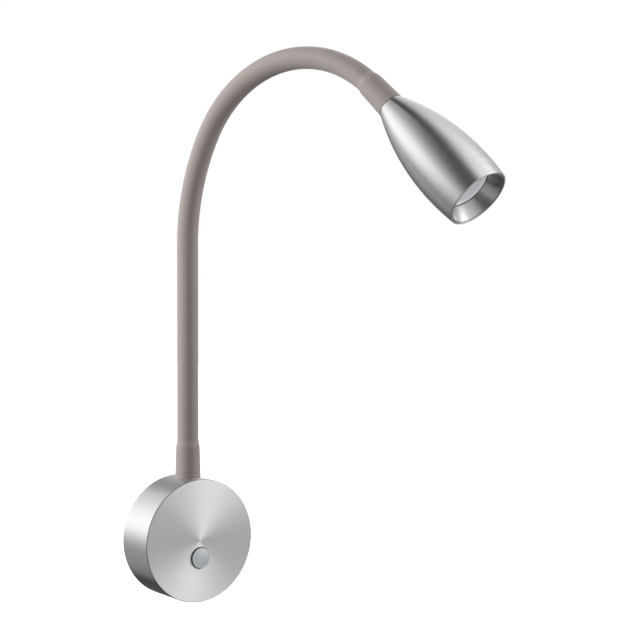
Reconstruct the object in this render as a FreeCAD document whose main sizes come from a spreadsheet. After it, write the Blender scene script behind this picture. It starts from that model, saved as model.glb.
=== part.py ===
import FreeCAD, Part
import math
import os

import Sketcher

Vector = FreeCAD.Vector
Rotation = FreeCAD.Rotation
Placement = FreeCAD.Placement

# Driving sizes of the wall light, in millimetres and degrees.
SIZES = {
    # drum that covers the wall plate
    "drum_diameter": 80.0,
    "drum_depth": 30.0,
    "drum_wall": 2.0,
    "drum_face": 2.5,
    "drum_edge": 0.4,
    "drum_plate_gap": 0.4,
    # wall plate, its screw slots, hook and lug
    "plate_thickness": 1.6,
    "plate_slot_spacing": 50.0,
    "plate_slot_width": 4.4,
    "plate_slot_length": 9.0,
    "cable_hole_diameter": 13.0,
    "cable_bore_diameter": 8.0,
    "grommet_lip": 1.2,
    "hook_width": 8.0,
    "hook_thickness": 1.5,
    "hook_reach": 3.6,
    "hook_gap": 0.3,
    "ledge_depth": 2.0,
    "lug_width": 12.0,
    "lug_height": 11.5,
    "lug_thickness": 1.6,
    "grub_diameter": 4.0,
    "grub_length": 6.0,
    "grub_boss_thickness": 4.0,
    "grub_height": 7.0,
    "grub_recess": 0.5,
    # terminal block and earth
    "block_width": 16.0,
    "block_height": 12.0,
    "block_offset": 10.0,
    "pole_pitch": 8.0,
    "wire_hole_diameter": 3.2,
    "terminal_screw_diameter": 3.4,
    "terminal_screw_length": 5.0,
    "block_screw_diameter": 2.6,
    "block_head_diameter": 4.6,
    "block_head_height": 1.6,
    "earth_screw_diameter": 4.0,
    "earth_head_diameter": 7.6,
    "earth_head_height": 2.4,
    "earth_offset_right": 15.0,
    "earth_offset_down": 24.0,
    "earth_lug_diameter": 8.4,
    "earth_lug_thickness": 0.8,
    # driver
    "driver_width": 22.0,
    "driver_length": 40.0,
    "driver_height": 14.0,
    "driver_offset": 9.0,
    "driver_wall": 1.2,
    "driver_lid_thickness": 1.2,
    "driver_post_height": 1.0,
    "driver_post_diameter": 4.0,
    "driver_board_thickness": 1.2,
    "driver_board_gap": 0.4,
    "driver_ear_length": 6.0,
    "driver_screw_diameter": 3.0,
    "driver_head_diameter": 5.4,
    "driver_head_height": 1.8,
    "transformer_side": 11.0,
    "transformer_height": 7.0,
    "capacitor_diameter": 6.3,
    "capacitor_height": 7.5,
    "chip_length": 5.0,
    "chip_width": 4.0,
    "chip_height": 1.6,
    # push button and switch
    "button_drop": 11.0,
    "button_diameter": 13.3,
    "button_gap": 0.4,
    "button_stand_out": 1.5,
    "button_dome": 0.35,
    "button_edge": 0.7,
    "button_depth": 8.6,
    "button_wall": 1.2,
    "button_roof": 2.0,
    "button_flange_width": 0.95,
    "button_flange_thickness": 1.2,
    "button_stop_gap": 0.06,
    "button_travel": 1.2,
    "stem_diameter": 3.6,
    "stem_gap": 0.08,
    "switch_neck_diameter": 7.0,
    "switch_neck_height": 3.0,
    "switch_side": 13.0,
    "switch_height": 8.5,
    "switch_flange": 1.5,
    "switch_screw_spacing": 25.0,
    "switch_screw_diameter": 2.0,
    "switch_head_diameter": 3.6,
    "switch_head_height": 1.3,
    "boss_wall": 1.8,
    "boss_height": 8.5,
    "ear_diameter": 5.0,
    "tag_width": 2.8,
    "tag_thickness": 0.6,
    "tag_length": 4.2,
    "tag_spacing": 6.0,
    "spring_diameter": 9.4,
    "spring_wire": 0.5,
    "spring_turns": 4.0,
    # gooseneck: its path, sleeve, conduit and ends
    "arm_turn": 75.0,
    "arm_rise": 151.6,
    "lower_bend_radius": 143.0,
    "lower_bend_angle": 29.5,
    "upper_bend_radius": 85.0,
    "upper_bend_angle": 102.8,
    "arm_tail": 16.5,
    "sleeve_diameter": 13.6,
    "core_diameter": 9.6,
    "core_bore": 4.0,
    "ball_diameter": 7.2,
    "ball_bore": 4.5,
    "cup_gap": 0.3,
    "link_tilt": 35.0,
    "boot_diameter": 16.5,
    "boot_shoulder_diameter": 15.3,
    "boot_length": 24.5,
    "ferrule_diameter": 12.0,
    "ferrule_length": 16.0,
    "ferrule_socket": 8.0,
    "saddle_drop": 1.2,
    "stem_thread_diameter": 10.0,
    "stem_thread_bore": 6.0,
    "nipple_inside": 12.0,
    "nut_flats": 13.0,
    "nut_height": 4.0,
    "washer_diameter": 15.0,
    "washer_thickness": 1.6,
    # lamp head
    "head_length": 81.0,
    "head_crown_diameter": 41.6,
    "head_crown_distance": 60.5,
    "head_neck_diameter": 16.1,
    "head_wall": 1.2,
    "head_neck_wall": 3.5,
    "head_stem_length": 32.0,
    "sink_start": 24.0,
    "sink_boss_diameter": 16.0,
    "sink_boss_length": 10.0,
    "sink_core_diameter": 19.0,
    "sink_gap": 0.38,
    "sink_fin_thickness": 1.5,
    "sink_front_thickness": 5.2,
    "sink_rim_height": 4.5,
    "sink_rim_wall": 1.7,
    "sink_wire_bore": 5.0,
    "board_rim_gap": 2.1,
    "board_thickness": 1.2,
    "chip_side": 12.0,
    "chip_base": 0.7,
    "emitter_diameter": 9.0,
    "emitter_height": 0.4,
    "board_screw_gap": 0.4,
    "board_screw_diameter": 2.0,
    "board_screw_length": 4.0,
    "lens_setback": 9.3,
    "lens_ring_gap": 0.3,
    "lens_flange": 1.5,
    "lens_cone_height": 3.0,
    "lens_rise": 7.0,
    "lens_cone_diameter": 13.0,
    "lens_edge_cover": 0.5,
    "holder_wall": 0.9,
    "gasket_thickness": 0.4,
    "ring_skirt_wall": 1.9,
    "ring_wall": 1.1,
    "ring_gap": 0.3,
    # leads
    "lamp_lead_diameter": 3.2,
    "hook_up_diameter": 1.8,
}


class Size:
    """A size known both as a number and as a formula of the sheet's cells."""

    def __init__(self, number, formula):
        self.number = float(number)
        self.formula = formula

    def __add__(self, other):
        other = sized(other)
        return Size(self.number + other.number, f"({self.formula} + {other.formula})")

    def __sub__(self, other):
        other = sized(other)
        return Size(self.number - other.number, f"({self.formula} - {other.formula})")

    def __mul__(self, other):
        other = sized(other)
        return Size(self.number * other.number, f"({self.formula} * {other.formula})")

    def __truediv__(self, other):
        other = sized(other)
        return Size(self.number / other.number, f"({self.formula} / {other.formula})")

    def __radd__(self, other):
        return sized(other) + self

    def __rsub__(self, other):
        return sized(other) - self

    def __rmul__(self, other):
        return sized(other) * self

    def __neg__(self):
        return Size(-self.number, f"(-{self.formula})")


def sized(value):
    """A plain number as a Size."""
    return value if isinstance(value, Size) else Size(value, f"({value})")


def root(size):
    """Square root of a Size."""
    return Size(math.sqrt(size.number), f"sqrt({size.formula})")


class Sheet:
    """The driving sizes, each read by its name."""

    def __getattr__(self, name):
        return Size(SIZES[name], f"Sizes.{name}")


doc = FreeCAD.newDocument("gooseneck_wall_light")
sheet = doc.addObject("Spreadsheet::Sheet", "Sizes")
for row, (name, value) in enumerate(SIZES.items(), start=1):
    sheet.set(f"A{row}", name)
    sheet.set(f"B{row}", str(value))
    sheet.setAlias(f"B{row}", name)
doc.recompute()
size = Sheet()

PIECES = []
ZERO = Size(0, "0")


# ---- ways of making a piece ----


def finished(item, label, frame=Placement()):
    """Names a finished piece and puts it in its place."""
    item.Label = label
    item.Placement = frame
    PIECES.append(item)
    return item


def put(item, position, rotation=Rotation()):
    """Places an object at a position that follows the sheet."""
    item.Placement = Placement(Vector(), rotation)
    for axis, value in zip("xyz", position):
        item.setExpression(f"Placement.Base.{axis}", sized(value).formula)
    return item


def span(first, second):
    """Two sizes with the lower one first."""
    first, second = sized(first), sized(second)
    return (first, second) if first.number < second.number else (second, first)


def box(name, across, up, out):
    """A block between a low and a high value on each of its three axes."""
    item = doc.addObject("Part::Box", name)
    for side, (low, high) in zip(("Length", "Width", "Height"), (across, up, out)):
        item.setExpression(side, (sized(high) - low).formula)
    return put(item, (across[0], up[0], out[0]))


AXES = {
    "z": Rotation(),
    "y": Rotation(Vector(1, 0, 0), -90),
    "x": Rotation(Vector(0, 1, 0), 90),
}


def rod(name, diameter, start, length, along="z"):
    """A round bar that starts at a point and runs along one axis."""
    item = doc.addObject("Part::Cylinder", name)
    item.setExpression("Radius", (diameter / 2).formula)
    item.setExpression("Height", sized(length).formula)
    return put(item, start, AXES[along])


def fused(name, items):
    """Objects joined into one."""
    item = doc.addObject("Part::MultiFuse", name)
    item.Shapes = items
    item.Refine = True
    return item


def cut(name, base, tools):
    """A base with tools taken out of it."""
    item = doc.addObject("Part::Cut", name)
    item.Base = base
    item.Tool = tools[0] if len(tools) == 1 else fused(name + "_tools", tools)
    item.Refine = True
    return item


def origin_plane(body, role):
    """One of a body's own origin planes."""
    return [f for f in body.Origin.OriginFeatures if f.Role == role][0]


def outline_edge(start, end, arc):
    """A straight edge, or an arc given as (radius, centre), and whether it runs the outline's way."""
    if arc is None:
        return Part.LineSegment(start, end), True
    radius, centre = arc
    centre = Vector(centre[0].number, centre[1].number, 0)
    first = math.atan2(start.y - centre.y, start.x - centre.x)
    last = math.atan2(end.y - centre.y, end.x - centre.x)
    circle = Part.Circle(centre, Vector(0, 0, 1), radius.number)
    forward = (last - first) % (2 * math.pi) < math.pi
    ends = (first, last) if forward else (last, first)
    return Part.ArcOfCircle(circle, *ends), forward


def outline(sketch, corners, arcs=None):
    """Closes a sketch through corners that the sheet holds.

    arcs maps an edge's number to (radius, centre).
    """
    arcs = arcs or {}
    corners = [(sized(x), sized(y)) for x, y in corners]
    points = [Vector(x.number, y.number, 0) for x, y in corners]
    count = len(points)
    ends = []
    for edge in range(count):
        shape, forward = outline_edge(points[edge], points[(edge + 1) % count], arcs.get(edge))
        sketch.addGeometry(shape)
        ends.append((1, 2) if forward else (2, 1))
    for edge in range(count):
        following = (edge + 1) % count
        sketch.addConstraint(
            Sketcher.Constraint("Coincident", edge, ends[edge][1], following, ends[following][0])
        )
    for edge, (x, y) in enumerate(corners):
        start = ends[edge][0]
        for kind, value, line in (("DistanceX", x, -2), ("DistanceY", y, -1)):
            if abs(value.number) < 1e-9:
                sketch.addConstraint(Sketcher.Constraint("PointOnObject", edge, start, line))
                continue
            held = sketch.addConstraint(
                Sketcher.Constraint(kind, -1, 1, edge, start, value.number)
            )
            sketch.setExpression(f"Constraints[{held}]", value.formula)
    for edge, (radius, centre) in arcs.items():
        held = sketch.addConstraint(Sketcher.Constraint("Radius", edge, radius.number))
        sketch.setExpression(f"Constraints[{held}]", radius.formula)


def turned(name, corners, arcs=None):
    """A lathe-turned piece: an outline of (radius, height) corners, spun about the upright axis."""
    body = doc.addObject("PartDesign::Body", name)
    sketch = body.newObject("Sketcher::SketchObject", name + "_outline")
    sketch.AttachmentSupport = [(origin_plane(body, "XZ_Plane"), "")]
    sketch.MapMode = "FlatFace"
    outline(sketch, corners, arcs)
    spin = body.newObject("PartDesign::Revolution", name + "_spin")
    spin.Profile = sketch
    spin.ReferenceAxis = (sketch, ["V_Axis"])
    spin.Angle = 360
    return body


def tube(name, outer, inner, low, high):
    """A turned tube between two heights."""
    return turned(
        name, [(inner / 2, low), (outer / 2, low), (outer / 2, high), (inner / 2, high)]
    )


def hex_bar(name, flats, start, height, along="z"):
    """A six-sided bar, given across its flats, that starts at a point and runs along one axis."""
    body = doc.addObject("PartDesign::Body", name)
    sketch = body.newObject("Sketcher::SketchObject", name + "_outline")
    sketch.AttachmentSupport = [(origin_plane(body, "XY_Plane"), "")]
    sketch.MapMode = "FlatFace"
    corner = flats / root(Size(3, "3"))
    side = corner / 2
    half = flats / 2
    outline(
        sketch,
        [(corner, 0), (side, half), (-side, half), (-corner, 0), (-side, -half), (side, -half)],
    )
    pad = body.newObject("PartDesign::Pad", name + "_pad")
    pad.Profile = sketch
    pad.setExpression("Length", sized(height).formula)
    return put(body, start, AXES[along])


def shaped(name, shape):
    """A piece whose solid follows a route, worked out from the sheet's values."""
    item = doc.addObject("Part::Feature", name)
    item.Shape = shape
    return item


# ---- frames ----
# On the wall, the local axes are x right, y up and z out of the wall.

WALL = Placement(Vector(), Rotation(Vector(1, 0, 0), 90))

drum_radius = size.drum_diameter / 2
drum_inner = drum_radius - size.drum_wall
face_inside = size.drum_depth - size.drum_face
arm_height = size.drum_depth / 2


# ---- drum and wall plate ----

hook_foot = drum_inner - size.hook_reach - size.hook_thickness
hook_top = drum_inner - size.hook_gap
ledge_low = size.plate_thickness + size.hook_gap
ledge_high = ledge_low + size.ledge_depth
hook_low = ledge_high + size.hook_gap
grub_seat = drum_inner - size.grub_boss_thickness + size.drum_wall
lug_outer = grub_seat - size.hook_gap
boss_inner = size.button_diameter / 2 + size.button_flange_width + size.button_gap
boss_outer = boss_inner + size.boss_wall
boss_end = face_inside - size.boss_height
button_centre = -size.button_drop
switch_screw_offset = size.switch_screw_spacing / 2


def make_base_housing():
    """The drum: a deep-drawn cup with the button's boss, the hook's ledge and the grub screw's boss."""
    edge = size.drum_edge
    cup = turned(
        "drum_cup",
        [
            (0, face_inside),
            (drum_inner, face_inside),
            (drum_inner, ZERO),
            (drum_radius, ZERO),
            (drum_radius, size.drum_depth - edge),
            (drum_radius - edge, size.drum_depth),
            (0, size.drum_depth),
        ],
    )
    inside = drum_radius - size.drum_wall / 2
    ledge = box(
        "hook_ledge",
        (-size.hook_width / 2, size.hook_width / 2),
        (drum_inner - size.hook_reach, inside),
        (ledge_low, ledge_high),
    )
    grub_boss = box(
        "grub_boss",
        (-size.grub_diameter, size.grub_diameter),
        (-inside, -grub_seat),
        (size.grub_height - size.grub_diameter, size.grub_height + size.grub_diameter),
    )
    button_boss = rod(
        "button_boss", 2 * boss_outer, (0, button_centre, boss_end), face_inside - boss_end
    )
    ears = [
        rod(
            f"switch_ear_{side}",
            size.ear_diameter,
            (side * switch_screw_offset, button_centre, boss_end),
            face_inside - boss_end,
        )
        for side in (-1, 1)
    ]
    body = fused("drum_with_bosses", [cup, ledge, grub_boss, button_boss] + ears)
    holes = [
        rod(
            "button_hole",
            size.button_diameter + 2 * size.button_gap,
            (0, button_centre, 0),
            size.drum_depth + 1,
        ),
        rod("boss_bore", 2 * boss_inner, (0, button_centre, 0), face_inside),
        rod(
            "arm_hole",
            size.stem_thread_diameter + size.hook_gap,
            (0, 0, arm_height),
            drum_radius + 1,
            "y",
        ),
        rod(
            "grub_hole",
            size.grub_diameter,
            (0, -drum_radius - 1, size.grub_height),
            drum_radius,
            "y",
        ),
    ]
    holes += [
        rod(
            f"ear_hole_{side}",
            size.switch_screw_diameter,
            (side * switch_screw_offset, button_centre, 0),
            boss_end + size.boss_height * 0.7,
        )
        for side in (-1, 1)
    ]
    finished(cut("base_housing", body, holes), "base_housing", WALL)


def slot(name, centre_up):
    """An upright slot through the wall plate, for a wall screw."""
    through = (-1, size.plate_thickness + 1)
    half = (size.plate_slot_length - size.plate_slot_width) / 2
    middle = box(
        name + "_middle",
        (-size.plate_slot_width / 2, size.plate_slot_width / 2),
        (centre_up - half, centre_up + half),
        through,
    )
    ends = [
        rod(
            f"{name}_end_{way}",
            size.plate_slot_width,
            (0, centre_up + way * half, -1),
            3 + size.plate_thickness,
        )
        for way in (-1, 1)
    ]
    return [middle] + ends


def make_wall_plate():
    """The steel plate that is screwed to the wall, with a bent hook at the top and a bent lug below."""
    disc = rod("plate_disc", 2 * (drum_inner - size.drum_plate_gap), (0, 0, 0), size.plate_thickness)
    half_hook = size.hook_width / 2
    foot = box(
        "hook_foot",
        (-half_hook, half_hook),
        (hook_foot - size.hook_gap, drum_inner - size.hook_reach - size.hook_gap),
        (0, hook_low + size.hook_thickness),
    )
    tip = box(
        "hook_tip",
        (-half_hook, half_hook),
        (hook_foot - size.hook_gap, hook_top - size.hook_thickness),
        (hook_low, hook_low + size.hook_thickness),
    )
    lug = box(
        "plate_lug",
        (-size.lug_width / 2, size.lug_width / 2),
        (-lug_outer, -lug_outer + size.lug_thickness),
        (0, size.lug_height),
    )
    plate = fused("plate_with_tabs", [disc, foot, tip, lug])
    holes = slot("upper_slot", size.plate_slot_spacing / 2)
    holes += slot("lower_slot", -size.plate_slot_spacing / 2)
    holes.append(rod("cable_hole", size.cable_hole_diameter, (0, 0, -1), size.plate_thickness + 2))
    holes.append(
        rod(
            "lug_hole",
            size.grub_diameter + size.hook_gap,
            (0, -drum_radius, size.grub_height),
            drum_radius / 2,
            "y",
        )
    )
    for name, across, up in driver_screw_places():
        thread = size.driver_screw_diameter
        holes.append(rod(name + "_thread", thread, (across, up, -1), size.plate_thickness + 2))
    for name, across, up in block_screw_places():
        thread = size.block_screw_diameter
        holes.append(rod(name + "_thread", thread, (across, up, -1), size.plate_thickness + 2))
    holes.append(
        rod(
            "earth_thread",
            size.earth_screw_diameter,
            (size.earth_offset_right, -size.earth_offset_down, -1),
            size.plate_thickness + 2,
        )
    )
    finished(cut("wall_plate", plate, holes), "wall_plate", WALL)


def make_cable_grommet():
    """The rubber grommet that lines the plate's cable hole, proud of the plate only on its inner side."""
    bore = size.cable_bore_diameter / 2
    hole = size.cable_hole_diameter / 2
    lip = hole + size.grommet_lip
    top = size.plate_thickness + size.grommet_lip
    grommet = turned(
        "cable_grommet",
        [
            (bore, ZERO),
            (hole, ZERO),
            (hole, size.plate_thickness),
            (lip, size.plate_thickness),
            (lip, top),
            (bore, top),
        ],
    )
    finished(grommet, "cable_grommet", WALL)


def make_housing_screw():
    """The grub screw under the drum, whose tip sits in the plate's lug."""
    start = -drum_radius + size.grub_recess
    body = rod("grub_body", size.grub_diameter, (0, start, size.grub_height), size.grub_length, "y")
    socket = hex_bar(
        "grub_socket", size.grub_diameter / 2, (0, start, size.grub_height), size.grub_length / 3, "y"
    )
    finished(cut("housing_screw", body, [socket]), "housing_screw", WALL)


# ---- terminal block and earth ----

block_left = size.block_offset
block_right = size.block_offset + size.block_width
block_top = size.plate_thickness + size.block_height
pole_height = size.plate_thickness + size.block_height / 2 - size.wire_hole_diameter / 4


def block_screw_places():
    """Where the two screws go that hold the terminal block, between its poles."""
    middle = (block_left + block_right) / 2
    return [(f"block_screw_{way}", middle, way * size.pole_pitch / 2) for way in (-1, 1)]


def terminal_screw_places():
    """Where the six clamping screws go, two on each pole."""
    quarter = size.block_width / 4
    return [
        (f"terminal_screw_{pole}_{end}", across, pole * size.pole_pitch)
        for pole in (-1, 0, 1)
        for end, across in (("in", block_left + quarter), ("out", block_right - quarter))
    ]


def make_terminal_block():
    """The three-pole terminal block: live, neutral and earth."""
    half = 1.5 * size.pole_pitch
    block = box("block_blank", (block_left, block_right), (-half, half), (size.plate_thickness, block_top))
    holes = [
        rod(
            f"wire_hole_{pole}",
            size.wire_hole_diameter,
            (block_left - 1, pole * size.pole_pitch, pole_height),
            size.block_width + 2,
            "x",
        )
        for pole in (-1, 0, 1)
    ]
    for name, across, up in terminal_screw_places():
        start = (across, up, pole_height)
        holes.append(rod(name + "_hole", size.terminal_screw_diameter, start, size.block_height))
    for name, across, up in block_screw_places():
        holes.append(rod(name + "_hole", size.block_screw_diameter, (across, up, 0), block_top + 1))
        start = (across, up, block_top - 2 * size.block_head_height)
        holes.append(rod(name + "_sink", size.block_head_diameter, start, size.block_height))
    finished(cut("terminal_block", block, holes), "terminal_block", WALL)


def slotted_screw(name, diameter, across, up, low, high, head=None, head_height=None):
    """A screw along z from low to high, slotted on top, with a wider head above high if one is given."""
    shank = rod(name + "_shank", diameter, (across, up, low), sized(high) - low)
    body = shank
    top = sized(high)
    if head is not None:
        top = top + head_height
        body = fused(name + "_body", [shank, rod(name + "_head", head, (across, up, high), head_height)])
    width = head if head is not None else diameter
    groove = box(
        name + "_groove",
        (sized(across) - width, sized(across) + width),
        (sized(up) - width / 10, sized(up) + width / 10),
        (top - diameter / 5, top + 1),
    )
    return cut(name, body, [groove])


def make_terminal_screws():
    """The six clamping screws, sunk in the terminal block above the wire holes."""
    top = pole_height + size.hook_up_diameter / 2 + size.terminal_screw_length
    screws = [
        slotted_screw(name, size.terminal_screw_diameter, across, up, top - size.terminal_screw_length, top)
        for name, across, up in terminal_screw_places()
    ]
    finished(fused("terminal_screws", screws), "terminal_screws", WALL)


def make_block_screws():
    """The two screws that hold the terminal block to the plate."""
    seat = block_top - 2 * size.block_head_height
    screws = [
        slotted_screw(
            name,
            size.block_screw_diameter,
            across,
            up,
            0,
            seat,
            size.block_head_diameter,
            size.block_head_height,
        )
        for name, across, up in block_screw_places()
    ]
    finished(fused("block_screws", screws), "block_screws", WALL)


def make_earth():
    """The earth screw and the ring lug that it clamps to the plate."""
    right = size.earth_offset_right
    down = -size.earth_offset_down
    seat = size.plate_thickness + size.earth_lug_thickness
    screw = slotted_screw(
        "earth_screw",
        size.earth_screw_diameter,
        right,
        down,
        0,
        seat,
        size.earth_head_diameter,
        size.earth_head_height,
    )
    finished(screw, "earth_screw", WALL)
    start = (right, down, size.plate_thickness)
    ring = rod("lug_ring", size.earth_lug_diameter, start, size.earth_lug_thickness)
    strip = box(
        "lug_strip",
        (right, right + size.earth_lug_diameter),
        (down - size.hook_up_diameter, down + size.hook_up_diameter),
        (size.plate_thickness, seat),
    )
    hole = rod("lug_eye", size.earth_screw_diameter, (right, down, 0), seat + 1)
    finished(cut("earth_lug", fused("lug_blank", [ring, strip]), [hole]), "earth_lug", WALL)


# ---- driver ----

case_right = -size.driver_offset
case_left = case_right - size.driver_width
case_half = size.driver_length / 2
case_low = size.plate_thickness
case_high = case_low + size.driver_height
lid_low = case_high - size.driver_lid_thickness
board_low = case_low + size.driver_wall + size.driver_post_height
board_high = board_low + size.driver_board_thickness
lead_exit_up = size.driver_length * 0.22
lead_exit_out = case_low + size.driver_height * 0.68


def driver_screw_places():
    """Where the two screws go that hold the driver, through its ears."""
    middle = (case_left + case_right) / 2
    reach = case_half + size.driver_ear_length / 2
    return [(f"driver_screw_{way}", middle, way * reach) for way in (-1, 1)]


def make_driver_case():
    """The moulded tray of the driver, with screw ears, board posts and holes for its leads."""
    wall = size.driver_wall
    tray = box("tray_blank", (case_left, case_right), (-case_half, case_half), (case_low, lid_low))
    inside = box(
        "tray_inside",
        (case_left + wall, case_right - wall),
        (-case_half + wall, case_half - wall),
        (case_low + wall, case_high),
    )
    middle = (case_left + case_right) / 2
    post_inset = wall + size.driver_post_diameter / 2
    posts = [
        rod(
            f"board_post_{side}_{end}",
            size.driver_post_diameter,
            (
                middle + side * (size.driver_width / 2 - post_inset),
                end * (case_half - post_inset),
                case_low + wall / 2,
            ),
            size.driver_post_height + wall / 2,
        )
        for side in (-1, 1)
        for end in (-1, 1)
    ]
    ears = [
        box(
            f"driver_ear_{way}",
            (middle - size.driver_ear_length / 2, middle + size.driver_ear_length / 2),
            span(way * (case_half - wall), way * (case_half + size.driver_ear_length)),
            (case_low, case_low + wall),
        )
        for way in (-1, 1)
    ]
    holes = [
        rod(name + "_ear", size.driver_screw_diameter, (across, up, 0), case_low + 3 * wall)
        for name, across, up in driver_screw_places()
    ]
    holes.append(
        rod(
            "lamp_lead_hole",
            size.lamp_lead_diameter + size.cup_gap,
            (case_right - 2 * wall, lead_exit_up, lead_exit_out),
            4 * wall,
            "x",
        )
    )
    for name, route in supply_routes() + switch_routes():
        end = route[-1]
        holes.append(
            rod(name + "_hole", size.hook_up_diameter, (case_right - 2 * wall, end.y, end.z), 4 * wall, "x")
        )
    hollow = cut("tray_hollow", fused("tray_and_ears", [tray] + ears), [inside])
    finished(cut("driver_case", fused("tray_with_posts", [hollow] + posts), holes), "driver_case", WALL)


def make_driver_lid():
    """The lid that closes the driver's tray, with a step that drops inside its walls."""
    plate = box("lid_plate", (case_left, case_right), (-case_half, case_half), (lid_low, case_high))
    rim = size.driver_wall + size.driver_board_gap
    step = box(
        "lid_step",
        (case_left + rim, case_right - rim),
        (-case_half + rim, case_half - rim),
        (lid_low - size.driver_wall / 2, lid_low + size.driver_wall / 2),
    )
    finished(fused("driver_lid", [plate, step]), "driver_lid", WALL)


def make_driver_board():
    """The driver's board and what is soldered on it."""
    rim = size.driver_wall + size.driver_board_gap
    middle = (case_left + case_right) / 2
    board = box(
        "board_blank",
        (case_left + rim, case_right - rim),
        (-case_half + rim, case_half - rim),
        (board_low, board_high),
    )
    notches = [
        rod(
            f"board_notch_{end}",
            size.driver_screw_diameter,
            (middle, end * (case_half - rim), board_low - 1),
            size.driver_board_thickness + 2,
        )
        for end in (-1, 1)
    ]
    finished(cut("driver_board", board, notches), "driver_board", WALL)
    half = size.transformer_side / 2
    core_top = board_high + size.transformer_height
    coil_low = board_high + size.transformer_height / 4
    core = box("transformer_core", (middle - half, middle + half), (-half, half), (board_high, core_top))
    coil = rod(
        "transformer_coil", size.transformer_side * 1.2, (middle, 0, coil_low), size.transformer_height / 2
    )
    finished(fused("driver_transformer", [core, coil]), "driver_transformer", WALL)
    across = middle - size.capacitor_diameter * 0.6
    inset = 1.3 * size.capacitor_diameter
    cans = [
        rod(
            f"capacitor_{end}",
            size.capacitor_diameter,
            (across, end * (case_half - inset), board_high),
            size.capacitor_height,
        )
        for end in (-1, 1)
    ]
    finished(fused("driver_capacitors", cans), "driver_capacitors", WALL)
    chips = [
        box(
            f"driver_chip_{end}",
            (middle + size.chip_width / 2, middle + 1.5 * size.chip_width),
            span(end * (half + 2), end * (half + 2 + size.chip_length)),
            (board_high, board_high + size.chip_height),
        )
        for end in (-1, 1)
    ]
    finished(fused("driver_chips", chips), "driver_chips", WALL)


def make_driver_screws():
    """The two screws through the driver's ears."""
    seat = case_low + size.driver_wall
    screws = [
        slotted_screw(
            name,
            size.driver_screw_diameter,
            across,
            up,
            0,
            seat,
            size.driver_head_diameter,
            size.driver_head_height,
        )
        for name, across, up in driver_screw_places()
    ]
    finished(fused("driver_screws", screws), "driver_screws", WALL)


# ---- push button and switch ----

cap_top = size.drum_depth + size.button_stand_out
cap_low = cap_top - size.button_depth
flange_high = face_inside - size.button_stop_gap
flange_low = flange_high - size.button_flange_thickness
cap_roof = cap_top - size.button_roof
switch_top = boss_end
switch_bottom = switch_top - size.switch_flange - size.switch_height
neck_top = switch_top + size.switch_neck_height
stem_low = switch_top - size.switch_flange
BUTTON = WALL * Placement(Vector(0, -SIZES["button_drop"], 0), Rotation())


def make_button_cap():
    """The metal cap of the push button, slightly domed, with a flange that stops it behind the face."""
    outer = size.button_diameter / 2
    inner = outer - size.button_wall
    flange = outer + size.button_flange_width
    shoulder = outer - size.button_edge
    side_top = cap_top - size.button_dome - size.button_edge
    dome_radius = (shoulder * shoulder + size.button_dome * size.button_dome) / (2 * size.button_dome)
    cap = turned(
        "button_cap",
        [
            (0, cap_roof),
            (inner, cap_roof),
            (inner, cap_low),
            (outer, cap_low),
            (outer, flange_low),
            (flange, flange_low),
            (flange, flange_high),
            (outer, flange_high),
            (outer, side_top),
            (shoulder, side_top + size.button_edge),
            (0, cap_top),
        ],
        {
            8: (size.button_edge, (shoulder, side_top)),
            9: (dome_radius, (ZERO, cap_top - dome_radius)),
        },
    )
    finished(cap, "button_cap", BUTTON)


def make_button_stem():
    """The plastic plunger under the cap, which runs in the switch's neck."""
    stem = tube("button_stem", size.stem_diameter, size.stem_diameter / 3, stem_low, cap_roof)
    finished(stem, "button_stem", BUTTON)


def make_switch_body():
    """The latching switch: a square body, an oblong flange under the boss and a round neck."""
    half = size.switch_side / 2
    body = box("switch_block", (-half, half), (-half, half), (switch_bottom, stem_low))
    reach = switch_screw_offset + size.ear_diameter / 2
    flange = box("switch_flange", (-reach, reach), (-half, half), (stem_low, switch_top))
    neck = rod("switch_neck", size.switch_neck_diameter, (0, 0, switch_top), size.switch_neck_height)
    blank = fused("switch_blank", [body, flange, neck])
    travel = size.button_travel + 1
    holes = [
        rod(
            "stem_bore",
            size.stem_diameter + 2 * size.stem_gap,
            (0, 0, stem_low - travel),
            neck_top - stem_low + travel + 1,
        )
    ]
    holes += [
        rod(
            f"flange_hole_{side}",
            size.switch_screw_diameter,
            (side * switch_screw_offset, 0, switch_bottom),
            size.boss_height * 2,
        )
        for side in (-1, 1)
    ]
    finished(cut("switch_body", blank, holes), "switch_body", BUTTON)


def make_switch_screws():
    """The two screws that hold the switch under the boss, their heads towards the wall."""
    screws = []
    for side in (-1, 1):
        across = side * switch_screw_offset
        shank = rod(
            f"switch_shank_{side}",
            size.switch_screw_diameter,
            (across, 0, stem_low),
            size.switch_flange + size.boss_height / 2,
        )
        head = rod(
            f"switch_head_{side}",
            size.switch_head_diameter,
            (across, 0, stem_low - size.switch_head_height),
            size.switch_head_height,
        )
        screws.append(fused(f"switch_screw_{side}", [shank, head]))
    finished(fused("switch_screws", screws), "switch_screws", BUTTON)


def make_switch_tags():
    """The two brass tags on the switch's back."""
    offset = size.tag_spacing / 2
    half = size.tag_thickness / 2
    tags = [
        box(
            f"switch_tag_{side}",
            (side * offset - half, side * offset + half),
            (-size.tag_width / 2, size.tag_width / 2),
            (switch_bottom - size.tag_length, switch_bottom),
        )
        for side in (-1, 1)
    ]
    finished(fused("switch_tags", tags), "switch_tags", BUTTON)


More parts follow.
